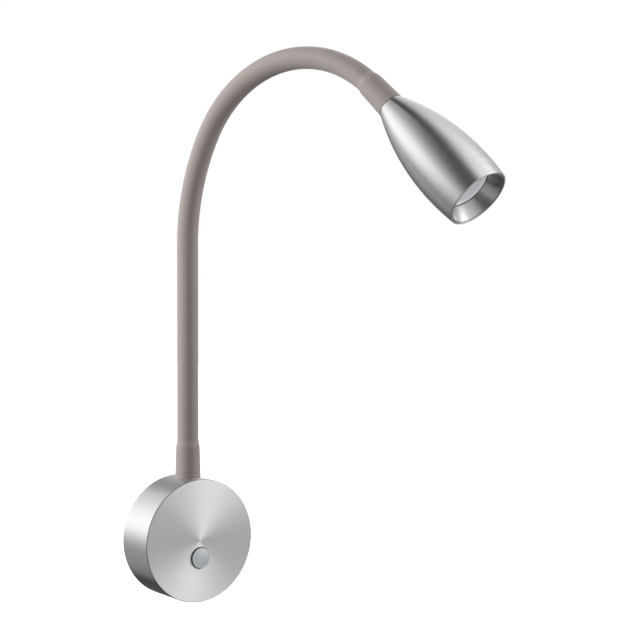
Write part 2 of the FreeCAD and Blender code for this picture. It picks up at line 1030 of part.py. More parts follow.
def make_button_spring():
    """The coil spring round the switch's neck that pushes the cap out."""
    radius = SIZES["spring_diameter"] / 2
    wire = SIZES["spring_wire"]
    low = switch_top.number + 0.55 * wire
    high = cap_roof.number - 0.55 * wire
    turns = SIZES["spring_turns"]
    helix = Part.makeHelix((high - low) / turns, high - low, radius)
    helix.translate(Vector(0, 0, low))
    circle = Part.Circle(Vector(radius, 0, low), Vector(0, 1, 0), wire / 2)
    coil = Part.Wire(helix.Edges).makePipeShell([Part.Wire([circle.toShape()])], True, True)
    finished(shaped("button_spring", coil), "button_spring", BUTTON)


# ---- leads ----


def rounded_route(points):
    """Straight runs through the points, joined by tangent arcs as large as the runs allow."""
    edges = []
    start = points[0]
    for before, corner, after in zip(points, points[1:], points[2:]):
        to_start = (before - corner).normalize()
        to_end = (after - corner).normalize()
        run = 0.45 * min(before.distanceToPoint(corner), after.distanceToPoint(corner))
        half_turn = (math.pi - to_start.getAngle(to_end)) / 2
        middle = (to_start + to_end).normalize()
        radius = run / math.tan(half_turn)
        enter = corner + to_start * run
        leave = corner + to_end * run
        bulge = corner + middle * (math.hypot(run, radius) - radius)
        edges.append(Part.LineSegment(start, enter).toShape())
        edges.append(Part.Arc(enter, bulge, leave).toShape())
        start = leave
    edges.append(Part.LineSegment(start, points[-1]).toShape())
    return Part.Wire(edges)


def round_lead(route, diameter):
    """A round lead along a route."""
    heading = route.Edges[0].tangentAt(route.Edges[0].FirstParameter)
    start = route.Edges[0].valueAt(route.Edges[0].FirstParameter)
    circle = Part.Circle(start, heading, diameter / 2)
    pipe = route.makePipeShell([Part.Wire([circle.toShape()])], True, False)
    ratio = pipe.Volume / (route.Length * math.pi * diameter**2 / 4)
    print(f"lead {route.Length:.1f} mm long, volume ratio {ratio:.3f}")
    return pipe


def number(value):
    """A Size or a plain number as a number."""
    return sized(value).number


def point(across, up, out):
    """A point in the wall's local axes."""
    return Vector(number(across), number(up), number(out))


def supply_routes():
    """Live and neutral, from the terminal block to the driver."""
    enter = block_left + size.block_width / 4
    into = case_right - 3 * size.driver_wall
    routes = []
    for name, pole, arrive in (("live", 1, 0.3), ("neutral", 0, 0.04)):
        height = pole * size.pole_pitch
        end = arrive * size.driver_length * 0.4
        routes.append(
            (
                name,
                [
                    point(enter, height, pole_height),
                    point(block_left / 3, height, pole_height),
                    point(-block_left / 3, end, pole_height),
                    point(into, end, pole_height),
                ],
            )
        )
    return routes


def switch_routes():
    """From the switch's two tags to the driver."""
    into = case_right - 3 * size.driver_wall
    routes = []
    for name, side, sink in (("near", -1, 0.0), ("far", 1, 1.0)):
        start = side * (size.tag_spacing / 2) - size.tag_thickness / 2
        up = button_centre - sink * size.hook_up_diameter * 2.2
        depth = switch_bottom - size.tag_length / 2
        route = [point(start, button_centre, depth)]
        if sink:
            route.append(point(start - size.tag_spacing / 6, button_centre, depth))
            route.append(point(start - size.tag_spacing / 2, up, depth))
        route.append(point(into, up, depth))
        routes.append((name, route))
    return routes


def make_hook_up_leads():
    """The short leads inside the drum: supply, switch and earth."""
    diameter = SIZES["hook_up_diameter"]
    supply = [round_lead(rounded_route(route), diameter) for name, route in supply_routes()]
    finished(shaped("supply_leads", Part.makeCompound(supply)), "supply_leads", WALL)
    switch = [round_lead(rounded_route(route), diameter) for name, route in switch_routes()]
    finished(shaped("switch_leads", Part.makeCompound(switch)), "switch_leads", WALL)
    strip_end = size.earth_offset_right + size.earth_lug_diameter
    rest = size.plate_thickness + size.earth_lug_thickness + size.hook_up_diameter / 2
    side = block_right + 2.4 * size.hook_up_diameter
    route = [
        point(block_right - size.block_width / 4, -size.pole_pitch, pole_height),
        point(side, -size.pole_pitch, pole_height),
        point(side, -size.earth_offset_down + 2 * size.hook_up_diameter, rest + 1),
        point(strip_end - 2, -size.earth_offset_down, rest),
    ]
    earth = round_lead(rounded_route(route), diameter)
    finished(shaped("earth_lead", earth), "earth_lead", WALL)


# ---- gooseneck ----
# The arm bends in one upright plane. In that plane, x is outwards, y is up, and z is the plane's normal.


def arm_frame():
    """Carries the arm's plane to its place over the drum."""
    turn = math.radians(SIZES["arm_turn"])
    outwards = Vector(math.cos(turn), -math.sin(turn), 0)
    upwards = Vector(0, 0, 1)
    normal = outwards.cross(upwards)
    return Placement(Vector(0, -arm_height.number, 0), Rotation(outwards, upwards, normal, "XYZ"))


ARM = arm_frame()
ARM_RUNS = [
    (SIZES["arm_rise"], None),
    (math.radians(SIZES["lower_bend_angle"]) * SIZES["lower_bend_radius"], SIZES["lower_bend_radius"]),
    (math.radians(SIZES["upper_bend_angle"]) * SIZES["upper_bend_radius"], SIZES["upper_bend_radius"]),
    (SIZES["arm_tail"], None),
]
ARM_LENGTH = sum(length for length, radius in ARM_RUNS)
JOINTS = 8
FLEXIBLE = ARM_LENGTH - 2 * SIZES["ferrule_length"]
STATIONS = [SIZES["ferrule_length"] + FLEXIBLE * (k + 0.5) / JOINTS for k in range(JOINTS)]


def heading_vector(heading):
    """A unit vector in the arm's plane."""
    return Vector(math.cos(heading), math.sin(heading), 0)


def turn_centre(place, heading, radius):
    """The centre that the arm turns about, on its lower side."""
    return place + heading_vector(heading - math.pi / 2) * radius


def arm_at(distance):
    """The centreline's point and heading at a distance from the drum's top, in the arm's plane."""
    place = Vector(0, drum_radius.number, 0)
    heading = math.pi / 2
    if distance < 0:
        return place + heading_vector(heading) * distance, heading
    for length, radius in ARM_RUNS:
        step = min(distance, length)
        if radius is None:
            place = place + heading_vector(heading) * step
        else:
            centre = turn_centre(place, heading, radius)
            heading -= step / radius
            place = centre + heading_vector(heading + math.pi / 2) * radius
        distance -= step
        if distance <= 0:
            break
    if distance > 0:
        place = place + heading_vector(heading) * distance
    return place, heading


def arm_stretches(start, end):
    """The straight and round stretches between two distances along the arm, as (from, to, radius)."""
    marks = [(-1000.0, 0.0, None)]
    for length, radius in ARM_RUNS:
        marks.append((marks[-1][1], marks[-1][1] + length, radius))
    marks.append((marks[-1][1], marks[-1][1] + 1000.0, None))
    found = [(max(start, a), min(end, b), radius) for a, b, radius in marks]
    return [(a, b, radius) for a, b, radius in found if b - a > 1e-6]


def arm_tube(start, end, outer, inner=0):
    """A tube round the arm's centreline between two distances; a bar where inner is 0."""
    parts = []
    for a, b, radius in arm_stretches(start, end):
        place, heading = arm_at(a)
        ahead = heading_vector(heading)
        rings = [Part.Wire([Part.Circle(place, ahead, outer / 2).toShape()])]
        if inner:
            rings.append(Part.Wire([Part.Circle(place, ahead, inner / 2).toShape()]))
        face = Part.Face(rings, "Part::FaceMakerBullseye")
        if radius is None:
            parts.append(face.extrude(ahead * (b - a)))
        else:
            centre = turn_centre(place, heading, radius)
            parts.append(face.revolve(centre, Vector(0, 0, -1), math.degrees((b - a) / radius)))
    whole = parts[0] if len(parts) == 1 else parts[0].multiFuse(parts[1:])
    return whole.removeSplitter() if len(parts) > 1 else whole


def spun(corners, distance, bulge=None):
    """A solid turned from (radius, height) corners, standing on the arm's centreline.

    The closing edge is an arc through the bulge if one is given.
    """
    points = [Vector(r, 0, h) for r, h in corners]
    edges = [Part.LineSegment(a, b).toShape() for a, b in zip(points, points[1:])]
    if bulge is None:
        edges.append(Part.LineSegment(points[-1], points[0]).toShape())
    else:
        edges.append(Part.Arc(points[-1], Vector(bulge[0], 0, bulge[1]), points[0]).toShape())
    solid = Part.Face(Part.Wire(edges)).revolve(Vector(), Vector(0, 0, 1), 360)
    solid.Placement = station_frame(distance)
    return solid


def station_frame(distance):
    """A frame on the centreline, with z along the arm."""
    place, heading = arm_at(distance)
    return Placement(place, Rotation(Vector(0, 0, 1), heading_vector(heading)))


def drum_in_arm_plane():
    """The drum's outer cylinder as seen from the arm's plane, to saddle what stands on it."""
    depth = SIZES["drum_depth"]
    drum = Part.makeCylinder(drum_radius.number, 3 * depth, Vector(0, depth, 0), Vector(0, -1, 0))
    drum.Placement = ARM.inverse() * drum.Placement
    return drum


def make_core_links():
    """The flexible conduit as nine short links, each with a ball that sits in the next one's cup."""
    core = SIZES["core_diameter"]
    bore = SIZES["core_bore"]
    ball = SIZES["ball_diameter"] / 2
    cup = ball + SIZES["cup_gap"]
    tilt = math.radians(SIZES["link_tilt"])
    neck = cup * math.cos(tilt) - SIZES["cup_gap"]
    hole = SIZES["ball_bore"] / 2
    shoulder = core / 2 * math.sin(tilt) + 1.5 * SIZES["cup_gap"]
    socket = SIZES["ferrule_length"] - SIZES["ferrule_socket"]
    ends = [socket] + STATIONS + [ARM_LENGTH - socket]
    for link, (low, high) in enumerate(zip(ends, ends[1:]), start=1):
        has_ball = link <= JOINTS
        top = high - shoulder if has_ball else high
        body = arm_tube(low, top, core, bore)
        if link > 1:
            body = body.cut(spun([(0, cup), (0, -cup)], low, (cup, 0)))
        if has_ball:
            foot = -shoulder - SIZES["cup_gap"]
            corners = [
                (hole, math.sqrt(ball**2 - hole**2)),
                (hole, foot),
                (neck, foot),
                (neck, -math.sqrt(ball**2 - neck**2)),
            ]
            body = body.fuse(spun(corners, high, (ball, 0))).removeSplitter()
        finished(shaped(f"core_link_{link}", body), f"core_link_{link}", ARM)


def boot(foot):
    """The stiff part of the sleeve's swollen end, over a ferrule: an outline that starts at height foot."""
    inner = SIZES["ferrule_diameter"] / 2
    wide = SIZES["boot_diameter"] / 2
    narrow = SIZES["boot_shoulder_diameter"] / 2
    top = SIZES["ferrule_length"]
    corners = [(inner, foot), (wide, foot), (wide, 0), (narrow, top), (inner, top)]
    if foot == 0:
        corners.pop(2)
    return corners


def arm_taper(start, end, first, last, inner):
    """A tube round the centreline whose outside tapers from the first diameter to the last."""
    cones = []
    for a, b, radius in arm_stretches(start, end):
        widths = [first + (last - first) * (mark - start) / (end - start) for mark in (a, b)]
        (low, low_heading), (high, high_heading) = arm_at(a), arm_at(b)
        rings = [
            Part.Wire([Part.Circle(place, heading_vector(heading), width / 2).toShape()])
            for place, heading, width in ((low, low_heading, widths[0]), (high, high_heading, widths[1]))
        ]
        if radius is None:
            route = Part.LineSegment(low, high)
        else:
            route = Part.Arc(low, arm_at((a + b) / 2)[0], high)
        cones.append(Part.Wire([route.toShape()]).makePipeShell(rings, True, True))
    whole = cones[0] if len(cones) == 1 else cones[0].multiFuse(cones[1:])
    return whole.cut(arm_tube(start - 1, end + 1, inner))


def make_sleeves():
    """The silicone sleeve, cut into the stretches that move with each link."""
    outer = SIZES["sleeve_diameter"]
    inner = SIZES["core_diameter"]
    stiff = SIZES["ferrule_length"]
    soft = SIZES["boot_length"]
    narrow = SIZES["boot_shoulder_diameter"]
    ends = [soft] + STATIONS + [ARM_LENGTH - soft]
    for place, (low, high) in enumerate(zip(ends, ends[1:])):
        parts = [arm_tube(low, high, outer, inner)]
        if place == 0:
            parts.append(arm_taper(stiff, soft, narrow, outer, inner))
            parts.append(spun(boot(-SIZES["saddle_drop"]), 0).cut(drum_in_arm_plane()))
        if place == JOINTS:
            parts.append(arm_taper(ARM_LENGTH - soft, ARM_LENGTH - stiff, outer, narrow, inner))
            parts.append(spun([(r, -h) for r, h in boot(0)], ARM_LENGTH))
        body = parts[0] if len(parts) == 1 else parts[0].multiFuse(parts[1:]).removeSplitter()
        finished(shaped(f"sleeve_{place + 1}", body), f"sleeve_{place + 1}", ARM)


def ferrule(name, foot):
    """A crimped ferrule: a threaded bore below and a socket for the conduit above."""
    outer = size.ferrule_diameter / 2
    thread = size.stem_thread_diameter / 2
    socket = size.core_diameter / 2
    shelf = size.ferrule_length - size.ferrule_socket
    top = size.ferrule_length
    return turned(
        name, [(thread, foot), (outer, foot), (outer, top), (socket, top), (socket, shelf), (thread, shelf)]
    )


# Upright frame at the drum's top, where the arm leaves it, and the frame at the head, z towards the mouth.
ARM_FOOT = Placement(Vector(0, -arm_height.number, drum_radius.number), Rotation())
HEAD = ARM * station_frame(ARM_LENGTH)


def make_arm_foot():
    """What joins the arm to the drum: ferrule, hollow nipple, saddle washer and nut."""
    blank = ferrule("base_ferrule_blank", -size.saddle_drop)
    drum = doc.addObject("Part::Cylinder", "ferrule_saddle")
    drum.setExpression("Radius", drum_radius.formula)
    drum.setExpression("Height", (2 * size.drum_depth).formula)
    put(drum, (0, size.drum_depth, -drum_radius), Rotation(Vector(1, 0, 0), 90))
    finished(cut("base_ferrule", blank, [drum]), "base_ferrule", ARM_FOOT)
    shelf = size.ferrule_length - size.ferrule_socket
    thread = size.stem_thread_diameter
    nipple = tube("arm_nipple", thread, size.stem_thread_bore, -size.nipple_inside, shelf)
    finished(nipple, "arm_nipple", ARM_FOOT)
    washer_low = -size.drum_wall - size.washer_thickness
    blank = tube("washer_blank", size.washer_diameter, size.stem_thread_diameter, washer_low, ZERO)
    inside = doc.addObject("Part::Cylinder", "drum_inside")
    inside.setExpression("Radius", drum_inner.formula)
    inside.setExpression("Height", (2 * size.drum_depth).formula)
    put(inside, (0, size.drum_depth, -drum_radius), Rotation(Vector(1, 0, 0), 90))
    washer = doc.addObject("Part::Common", "arm_washer")
    washer.Base = blank
    washer.Tool = inside
    finished(washer, "arm_washer", ARM_FOOT)
    nut_low = washer_low - size.nut_height
    nut = hex_bar("arm_nut_blank", size.nut_flats, (0, 0, nut_low), size.nut_height)
    bore = rod("arm_nut_bore", size.stem_thread_diameter, (0, 0, nut_low - 1), size.nut_height + 2)
    finished(cut("arm_nut", nut, [bore]), "arm_nut", ARM_FOOT)


# ---- lamp head ----

crown = size.head_crown_diameter / 2
swell = crown - size.head_neck_diameter / 2
outer_radius = (size.head_crown_distance * size.head_crown_distance + swell * swell) / (2 * swell)
inner_radius = outer_radius - size.head_wall
profile_centre = (crown - outer_radius, size.head_crown_distance)


def profile_at(height, radius):
    """The radius of one of the shell's two curved walls at a height from the neck."""
    rise = sized(height) - size.head_crown_distance
    return profile_centre[0] + root(radius * radius - rise * rise)


lens_front = size.head_length - size.lens_setback
lens_back = lens_front - size.lens_flange
ring_seat = lens_front + size.gasket_thickness
ring_lip = size.head_length - size.drum_edge
sink_front = lens_back - size.lens_rise - size.board_thickness
sink_back = sink_front - size.sink_front_thickness
sink_boss_end = size.sink_start + size.sink_boss_length
FINS = 6
fin_pitch = (sink_back - sink_boss_end) / FINS
fin_low = sink_boss_end + (fin_pitch - size.sink_fin_thickness) / 2
fin_radius = profile_at(fin_low, inner_radius) - size.sink_gap
sink_radius = profile_at(size.head_length, inner_radius) - size.sink_gap
ring_radius = profile_at(ring_lip, inner_radius) - size.ring_gap
ring_thread = sink_radius - size.sink_rim_wall
ring_bore = ring_thread - size.ring_skirt_wall
lens_radius = ring_bore - size.lens_ring_gap
lens_view = lens_radius - size.lens_edge_cover
board_head_diameter = size.board_screw_diameter * 1.6


def make_head_shell():
    """The bullet-shaped shell, turned and brushed: one long arc outside and its offset inside."""
    bore = size.stem_thread_diameter / 2
    wall = size.head_neck_wall
    shell = turned(
        "head_shell",
        [
            (bore, ZERO),
            (profile_at(0, outer_radius), ZERO),
            (profile_at(size.head_length, outer_radius), size.head_length),
            (profile_at(size.head_length, inner_radius), size.head_length),
            (profile_at(wall, inner_radius), wall),
            (bore, wall),
        ],
        {1: (outer_radius, profile_centre), 3: (inner_radius, profile_centre)},
    )
    finished(shell, "head_shell", HEAD)


def make_head_fixing():
    """What joins the arm to the head: ferrule, hollow stem and nut."""
    blank = ferrule("head_ferrule", ZERO)
    finished(blank, "head_ferrule", HEAD * Placement(Vector(), Rotation(Vector(1, 0, 0), 180)))
    shelf = size.ferrule_length - size.ferrule_socket
    thread = size.stem_thread_diameter
    stem = tube("head_stem", thread, size.stem_thread_bore, -shelf, size.head_stem_length)
    finished(stem, "head_stem", HEAD)
    nut = hex_bar("head_nut_blank", size.nut_flats, (0, 0, size.head_neck_wall), size.nut_height)
    bore = rod("head_nut_bore", size.stem_thread_diameter, (0, 0, 0), size.head_length / 2)
    finished(cut("head_nut", nut, [bore]), "head_nut", HEAD)


def make_heat_sink():
    """The turned heat sink: a threaded boss, six round fins, and a front plate with a threaded rim."""
    thread = size.stem_thread_diameter / 2
    boss = size.sink_boss_diameter / 2
    core = size.sink_core_diameter / 2
    wire = size.sink_wire_bore / 2
    corners = [
        (thread, size.sink_start),
        (boss, size.sink_start),
        (boss, sink_boss_end),
        (core, sink_boss_end),
    ]
    for place in range(FINS):
        low = fin_low + place * fin_pitch
        corners += [
            (core, low),
            (fin_radius, low),
            (fin_radius, low + size.sink_fin_thickness),
            (core, low + size.sink_fin_thickness),
        ]
    corners += [
        (core, sink_back),
        (sink_radius, sink_back),
        (sink_radius, sink_front + size.sink_rim_height),
        (ring_thread, sink_front + size.sink_rim_height),
        (ring_thread, sink_front),
        (wire, sink_front),
        (wire, size.head_stem_length + 1),
        (thread, size.head_stem_length + 1),
    ]
    sink = turned("sink_blank", corners)
    holes = [
        rod(
            name + "_thread",
            size.board_screw_diameter,
            (across, 0, sink_front - size.board_screw_length),
            size.board_screw_length + 1,
        )
        for name, across in board_screw_places()
    ]
    finished(cut("heat_sink", sink, holes), "heat_sink", HEAD)


def board_screw_places():
    """Where the two screws go that hold the lamp's board, just inside the lens holder."""
    offset = lens_radius - size.holder_wall - size.board_screw_gap - board_head_diameter / 2
    return [(f"board_screw_{side}", side * offset) for side in (-1, 1)]


def make_led():
    """The metal-core board, its emitter, and the two screws that hold it to the heat sink."""
    top = sink_front + size.board_thickness
    diameter = 2 * (ring_thread - size.board_rim_gap)
    blank = rod("lamp_board_blank", diameter, (0, 0, sink_front), size.board_thickness)
    holes = [
        rod(
            name + "_hole",
            size.board_screw_diameter,
            (across, 0, sink_front - 1),
            size.board_thickness + 2,
        )
        for name, across in board_screw_places()
    ]
    finished(cut("led_board", blank, holes), "led_board", HEAD)
    half = size.chip_side / 2
    base = box("chip_base", (-half, half), (-half, half), (top, top + size.chip_base))
    dome = rod("chip_emitter", size.emitter_diameter, (0, 0, top), size.chip_base + size.emitter_height)
    finished(fused("led_chip", [base, dome]), "led_chip", HEAD)
    screws = [
        slotted_screw(
            name,
            size.board_screw_diameter,
            across,
            0,
            sink_front - size.board_screw_length + size.board_thickness,
            top,
            board_head_diameter,
            size.board_screw_diameter * 0.4,
        )
        for name, across in board_screw_places()
    ]
    finished(fused("board_screws", screws), "board_screws", HEAD)


def make_lens():
    """The clear holder, the frosted lens, its gasket and the brushed cone in front of it."""
    back = lens_back - size.lens_cone_height
    cone = size.lens_cone_diameter / 2
    board_top = sink_front + size.board_thickness
    holder_bore = lens_radius - size.holder_wall
    holder = tube("lens_holder", 2 * lens_radius, 2 * holder_bore, board_top, lens_back)
    finished(holder, "lens_holder", HEAD)
    lens = turned(
        "lens",
        [
            (0, back),
            (cone, back),
            (holder_bore - size.lens_ring_gap, lens_back),
            (lens_radius, lens_back),
            (lens_radius, lens_front),
            (0, lens_front),
        ],
    )
    finished(lens, "lens", HEAD)
    gasket = tube("lens_gasket", 2 * lens_radius, 2 * lens_view, lens_front, ring_seat)
    finished(gasket, "lens_gasket", HEAD)
    skirt_low = board_top + size.sink_rim_height / 4
    ring = turned(
        "glare_ring",
        [
            (ring_bore, skirt_low),
            (ring_thread, skirt_low),
            (ring_thread, ring_seat + size.ring_wall),
            (ring_radius, ring_lip - size.ring_wall),
            (ring_radius, ring_lip),
            (ring_radius - size.drum_edge, ring_lip),
            (lens_view, ring_seat),
            (ring_bore, ring_seat),
        ],
    )
    finished(ring, "glare_ring", HEAD)


def make_arm_lead():
    """The two-core lead, whole, from the driver through the arm to the back of the lamp's board."""
    diameter = SIZES["lamp_lead_diameter"]
    inside = SIZES["nipple_inside"]
    start = point(case_right - 4 * size.driver_wall, lead_exit_up, lead_exit_out)
    corner = point(0, lead_exit_up, lead_exit_out)
    below = point(0, drum_radius - inside - 1, arm_height)
    tail = point(0, drum_radius - inside / 2, arm_height)
    route = rounded_route([start, corner, below, tail])
    foot = round_lead(route, diameter)
    foot.Placement = WALL * foot.Placement
    arm = arm_tube(-inside / 2, ARM_LENGTH + sink_front.number, diameter)
    arm.Placement = ARM
    whole = foot.fuse(arm).removeSplitter()
    finished(shaped("arm_lead", whole), "arm_lead")


make_wall_plate()
make_base_housing()
make_cable_grommet()
make_housing_screw()
make_terminal_block()
make_terminal_screws()
make_block_screws()
make_earth()
make_driver_case()
make_driver_lid()
make_driver_board()
make_driver_screws()
make_button_cap()
make_button_stem()
make_switch_body()
make_switch_screws()
make_switch_tags()
make_button_spring()
make_hook_up_leads()
make_arm_foot()
make_core_links()
make_sleeves()
make_arm_lead()
make_head_shell()
make_head_fixing()
make_heat_sink()
make_led()
make_lens()
doc.recompute()

# ---- checks and files ----

for item in doc.Objects:
    if "Invalid" in item.State or "Error" in item.State:
        raise RuntimeError(f"{item.Name} failed: {item.State}")
os.makedirs("parts", exist_ok=True)
for item in PIECES:
    if item.Shape.isNull() or not item.Shape.isValid():
        raise RuntimeError(f"{item.Label} has no valid shape")
    if not item.Shape.Solids:
        raise RuntimeError(f"{item.Label} has no solid")
for item in PIECES:
    item.Shape.exportStep(f"parts/{item.Label}.step")
print(f"{len(PIECES)} pieces, arm {ARM_LENGTH:.1f} mm long")
for distance in STATIONS:
    place, heading = arm_at(distance)
    spot = ARM.multVec(place)
    ahead = ARM.Rotation.multVec(heading_vector(heading))
    where = " ".join(f"{value:.3f}" for value in spot)
    way = " ".join(f"{value:.5f}" for value in ahead)
    print(f"station {distance:.1f}: {where} heading {way}")
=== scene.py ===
import bpy
import numpy as np
from mathutils import Matrix


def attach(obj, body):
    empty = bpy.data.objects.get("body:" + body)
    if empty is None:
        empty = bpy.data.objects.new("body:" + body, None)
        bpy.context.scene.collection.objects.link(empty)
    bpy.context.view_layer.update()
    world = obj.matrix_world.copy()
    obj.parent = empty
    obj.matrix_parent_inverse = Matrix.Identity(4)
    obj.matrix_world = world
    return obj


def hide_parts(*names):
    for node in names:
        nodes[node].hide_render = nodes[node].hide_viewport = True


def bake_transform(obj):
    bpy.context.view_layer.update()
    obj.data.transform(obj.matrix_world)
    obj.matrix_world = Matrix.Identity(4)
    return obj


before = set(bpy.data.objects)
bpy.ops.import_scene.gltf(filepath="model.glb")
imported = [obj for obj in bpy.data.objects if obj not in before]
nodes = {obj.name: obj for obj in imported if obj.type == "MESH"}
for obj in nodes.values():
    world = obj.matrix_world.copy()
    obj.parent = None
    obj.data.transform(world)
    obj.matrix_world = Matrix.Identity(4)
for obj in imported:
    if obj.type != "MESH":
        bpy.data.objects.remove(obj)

scene = bpy.context.scene
scene.view_settings.view_transform = "Standard"
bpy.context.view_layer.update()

# ---- The photograph's view ----
# The wall light seen from its front left, from a little above its middle, about a metre away.
# The fit to the drum's round face gives the camera's place and its turns.


def turn_to(item, right, up, back, place):
    """Turns an object to three axes of its own and moves it to a place."""
    turned = np.eye(4)
    turned[:3] = np.column_stack([right, up, back, place])
    item.matrix_world = Matrix(turned.tolist())


yaw, pitch, roll = 0.6423, -0.0468, 0.0026
camera_place = np.array([-0.51580, -0.84834, 0.18870])
ahead = np.array([np.sin(yaw) * np.cos(pitch), np.cos(yaw) * np.cos(pitch), np.sin(pitch)])
level = np.array([np.cos(yaw), -np.sin(yaw), 0.0])
rise = np.cross(level, ahead)
camera_right = level * np.cos(roll) + rise * np.sin(roll)
camera_up = rise * np.cos(roll) - level * np.sin(roll)
camera = bpy.data.objects.new("camera", bpy.data.cameras.new("camera"))
camera.data.lens = 84.375
camera.data.sensor_width = 36.0
camera.data.clip_start = 0.02
camera.data.clip_end = 30.0
turn_to(camera, camera_right, camera_up, -ahead, camera_place)
scene.collection.objects.link(camera)
scene.camera = camera

# ---- The studio ----
# A white floor well below the light, a white surround behind everything, and soft lamps for what isn't metal.
# Metal sees a grey room with soft bright and dark panels, as in a light tent.


def wire(tree, start, end):
    """Links one socket to another in a node tree."""
    tree.links.new(start, end)


def math_node(tree, operation, first, second=None):
    """A Math node of two inputs, each a socket or a number, and its output."""
    node = tree.nodes.new("ShaderNodeMath")
    node.operation = operation
    for place, value in enumerate((first, second)):
        if value is None:
            continue
        if isinstance(value, (int, float)):
            node.inputs[place].default_value = value
        else:
            wire(tree, value, node.inputs[place])
    return node.outputs[0]


def vector_node(tree, operation, first, second=None, scale=None):
    """A Vector Math node whose inputs are sockets or tuples."""
    node = tree.nodes.new("ShaderNodeVectorMath")
    node.operation = operation
    for place, value in ((0, first), (1, second), ("Scale", scale)):
        if isinstance(value, tuple):
            node.inputs[place].default_value = value
        elif value is not None:
            wire(tree, value, node.inputs[place])
    return node


def ramp(tree, value, stops):
    """A colour ramp over grey stops (place, grey), and its output."""
    node = tree.nodes.new("ShaderNodeValToRGB")
    elements = node.color_ramp.elements
    while len(elements) < len(stops):
        elements.new(0.5)
    for element, (place, grey) in zip(elements, stops):
        element.position = place
        element.color = (grey, grey, grey, 1)
    wire(tree, value, node.inputs["Fac"])
    return node.outputs["Color"]


def background(tree, socket, value):
    """A white background with one socket set by a value, and its output."""
    node = tree.nodes.new("ShaderNodeBackground")
    node.inputs["Color"].default_value = (1, 1, 1, 1)
    wire(tree, value, node.inputs[socket])
    return node.outputs[0]


def mixed(tree, mask, first, second):
    """Two shaders mixed by a mask, and the output."""
    node = tree.nodes.new("ShaderNodeMixShader")
    for place, value in enumerate((mask, first, second)):
        wire(tree, value, node.inputs[place])
    return node.outputs[0]


world = bpy.data.worlds.new("studio")
scene.world = world
world.use_nodes = True
tree = world.node_tree
tree.nodes.clear()
direction = tree.nodes.new("ShaderNodeTexCoord").outputs["Generated"]
# Each soft panel: the way to it, how bright it is (or, below zero, how dark), and how wide.
# Metal sees room_grey + the sum of strength * exp((cos(angle to the panel) - 1) / spread).
panels = [
    ((-0.612, 0.485, 0.624), 1.39, 0.156),
    ((0.278, -0.108, 0.955), 1.19, 0.112),
    ((-0.309, 0.252, 0.917), -0.95, 0.700),
    ((0.063, 0.264, -0.962), -0.94, 0.086),
    ((-0.516, 0.845, -0.140), -0.95, 0.031),
    ((0.611, 0.610, 0.505), 1.02, 0.087),
    ((-0.480, 0.874, 0.069), 1.54, 0.090),
    ((-0.939, 0.322, 0.122), 0.88, 0.061),
    ((0.757, -0.565, 0.328), 2.61, 0.081),
    ((0.242, -0.970, -0.002), 0.77, 0.206),
    ((-0.504, -0.802, -0.321), -0.94, 0.045),
    ((-0.075, -0.540, 0.838), 1.18, 0.041),
    ((-0.181, -0.198, 0.963), -0.62, 0.033),
    ((-0.059, 0.440, 0.896), -0.94, 0.016),
    ((0.002, 0.934, 0.357), 1.26, 0.027),
    ((-0.240, 0.423, 0.874), 1.33, 0.008),
    ((0.093, 0.699, -0.709), -0.46, 0.025),
    ((0.680, 0.730, 0.030), 0.55, 0.010),
    ((-0.780, -0.580, -0.230), -0.45, 0.020),
]
room_grey, darkest = 0.383, 0.03
bright = room_grey
for way, strength, spread in panels:
    facing = vector_node(tree, "DOT_PRODUCT", direction, way).outputs["Value"]
    fall = math_node(tree, "DIVIDE", math_node(tree, "SUBTRACT", facing, 1.0), spread)
    panel = math_node(tree, "MULTIPLY", math_node(tree, "EXPONENT", fall), strength)
    bright = math_node(tree, "ADD", panel, bright)
room = background(tree, "Color", math_node(tree, "MAXIMUM", bright, darkest))
plain = tree.nodes.new("ShaderNodeBackground")
plain.inputs["Color"].default_value = (1, 1, 1, 1)
height_of = tree.nodes.new("ShaderNodeSeparateXYZ")
wire(tree, direction, height_of.inputs[0])
sky_level, sky_slope = 0.30, 0.04
sky = math_node(tree, "MULTIPLY_ADD", height_of.outputs["Z"], sky_slope)
sky.node.inputs[2].default_value = sky_level
soft = background(tree, "Strength", sky)
path = tree.nodes.new("ShaderNodeLightPath")
off_camera = mixed(tree, path.outputs["Is Glossy Ray"], soft, room)
seen = mixed(tree, path.outputs["Is Camera Ray"], off_camera, plain.outputs[0])
wire(tree, seen, tree.nodes.new("ShaderNodeOutputWorld").inputs["Surface"])

floor_mesh = bpy.data.meshes.new("floor")
reach, floor_height = 6.0, -0.42
floor_corners = [(x * reach, y * reach, floor_height) for x, y in ((-1, -1), (1, -1), (1, 1), (-1, 1))]
floor_mesh.from_pydata(floor_corners, [], [(0, 1, 2, 3)])
floor = bpy.data.objects.new("floor", floor_mesh)
scene.collection.objects.link(floor)
floor.visible_glossy = False
floor.visible_diffuse = False
floor_paint = bpy.data.materials.new("floor_paint")
floor_paint.use_nodes = True
tree = floor_paint.node_tree
tree.nodes.clear()
matt = tree.nodes.new("ShaderNodeBsdfDiffuse")
matt.inputs["Color"].default_value = (0.82, 0.82, 0.82, 1)
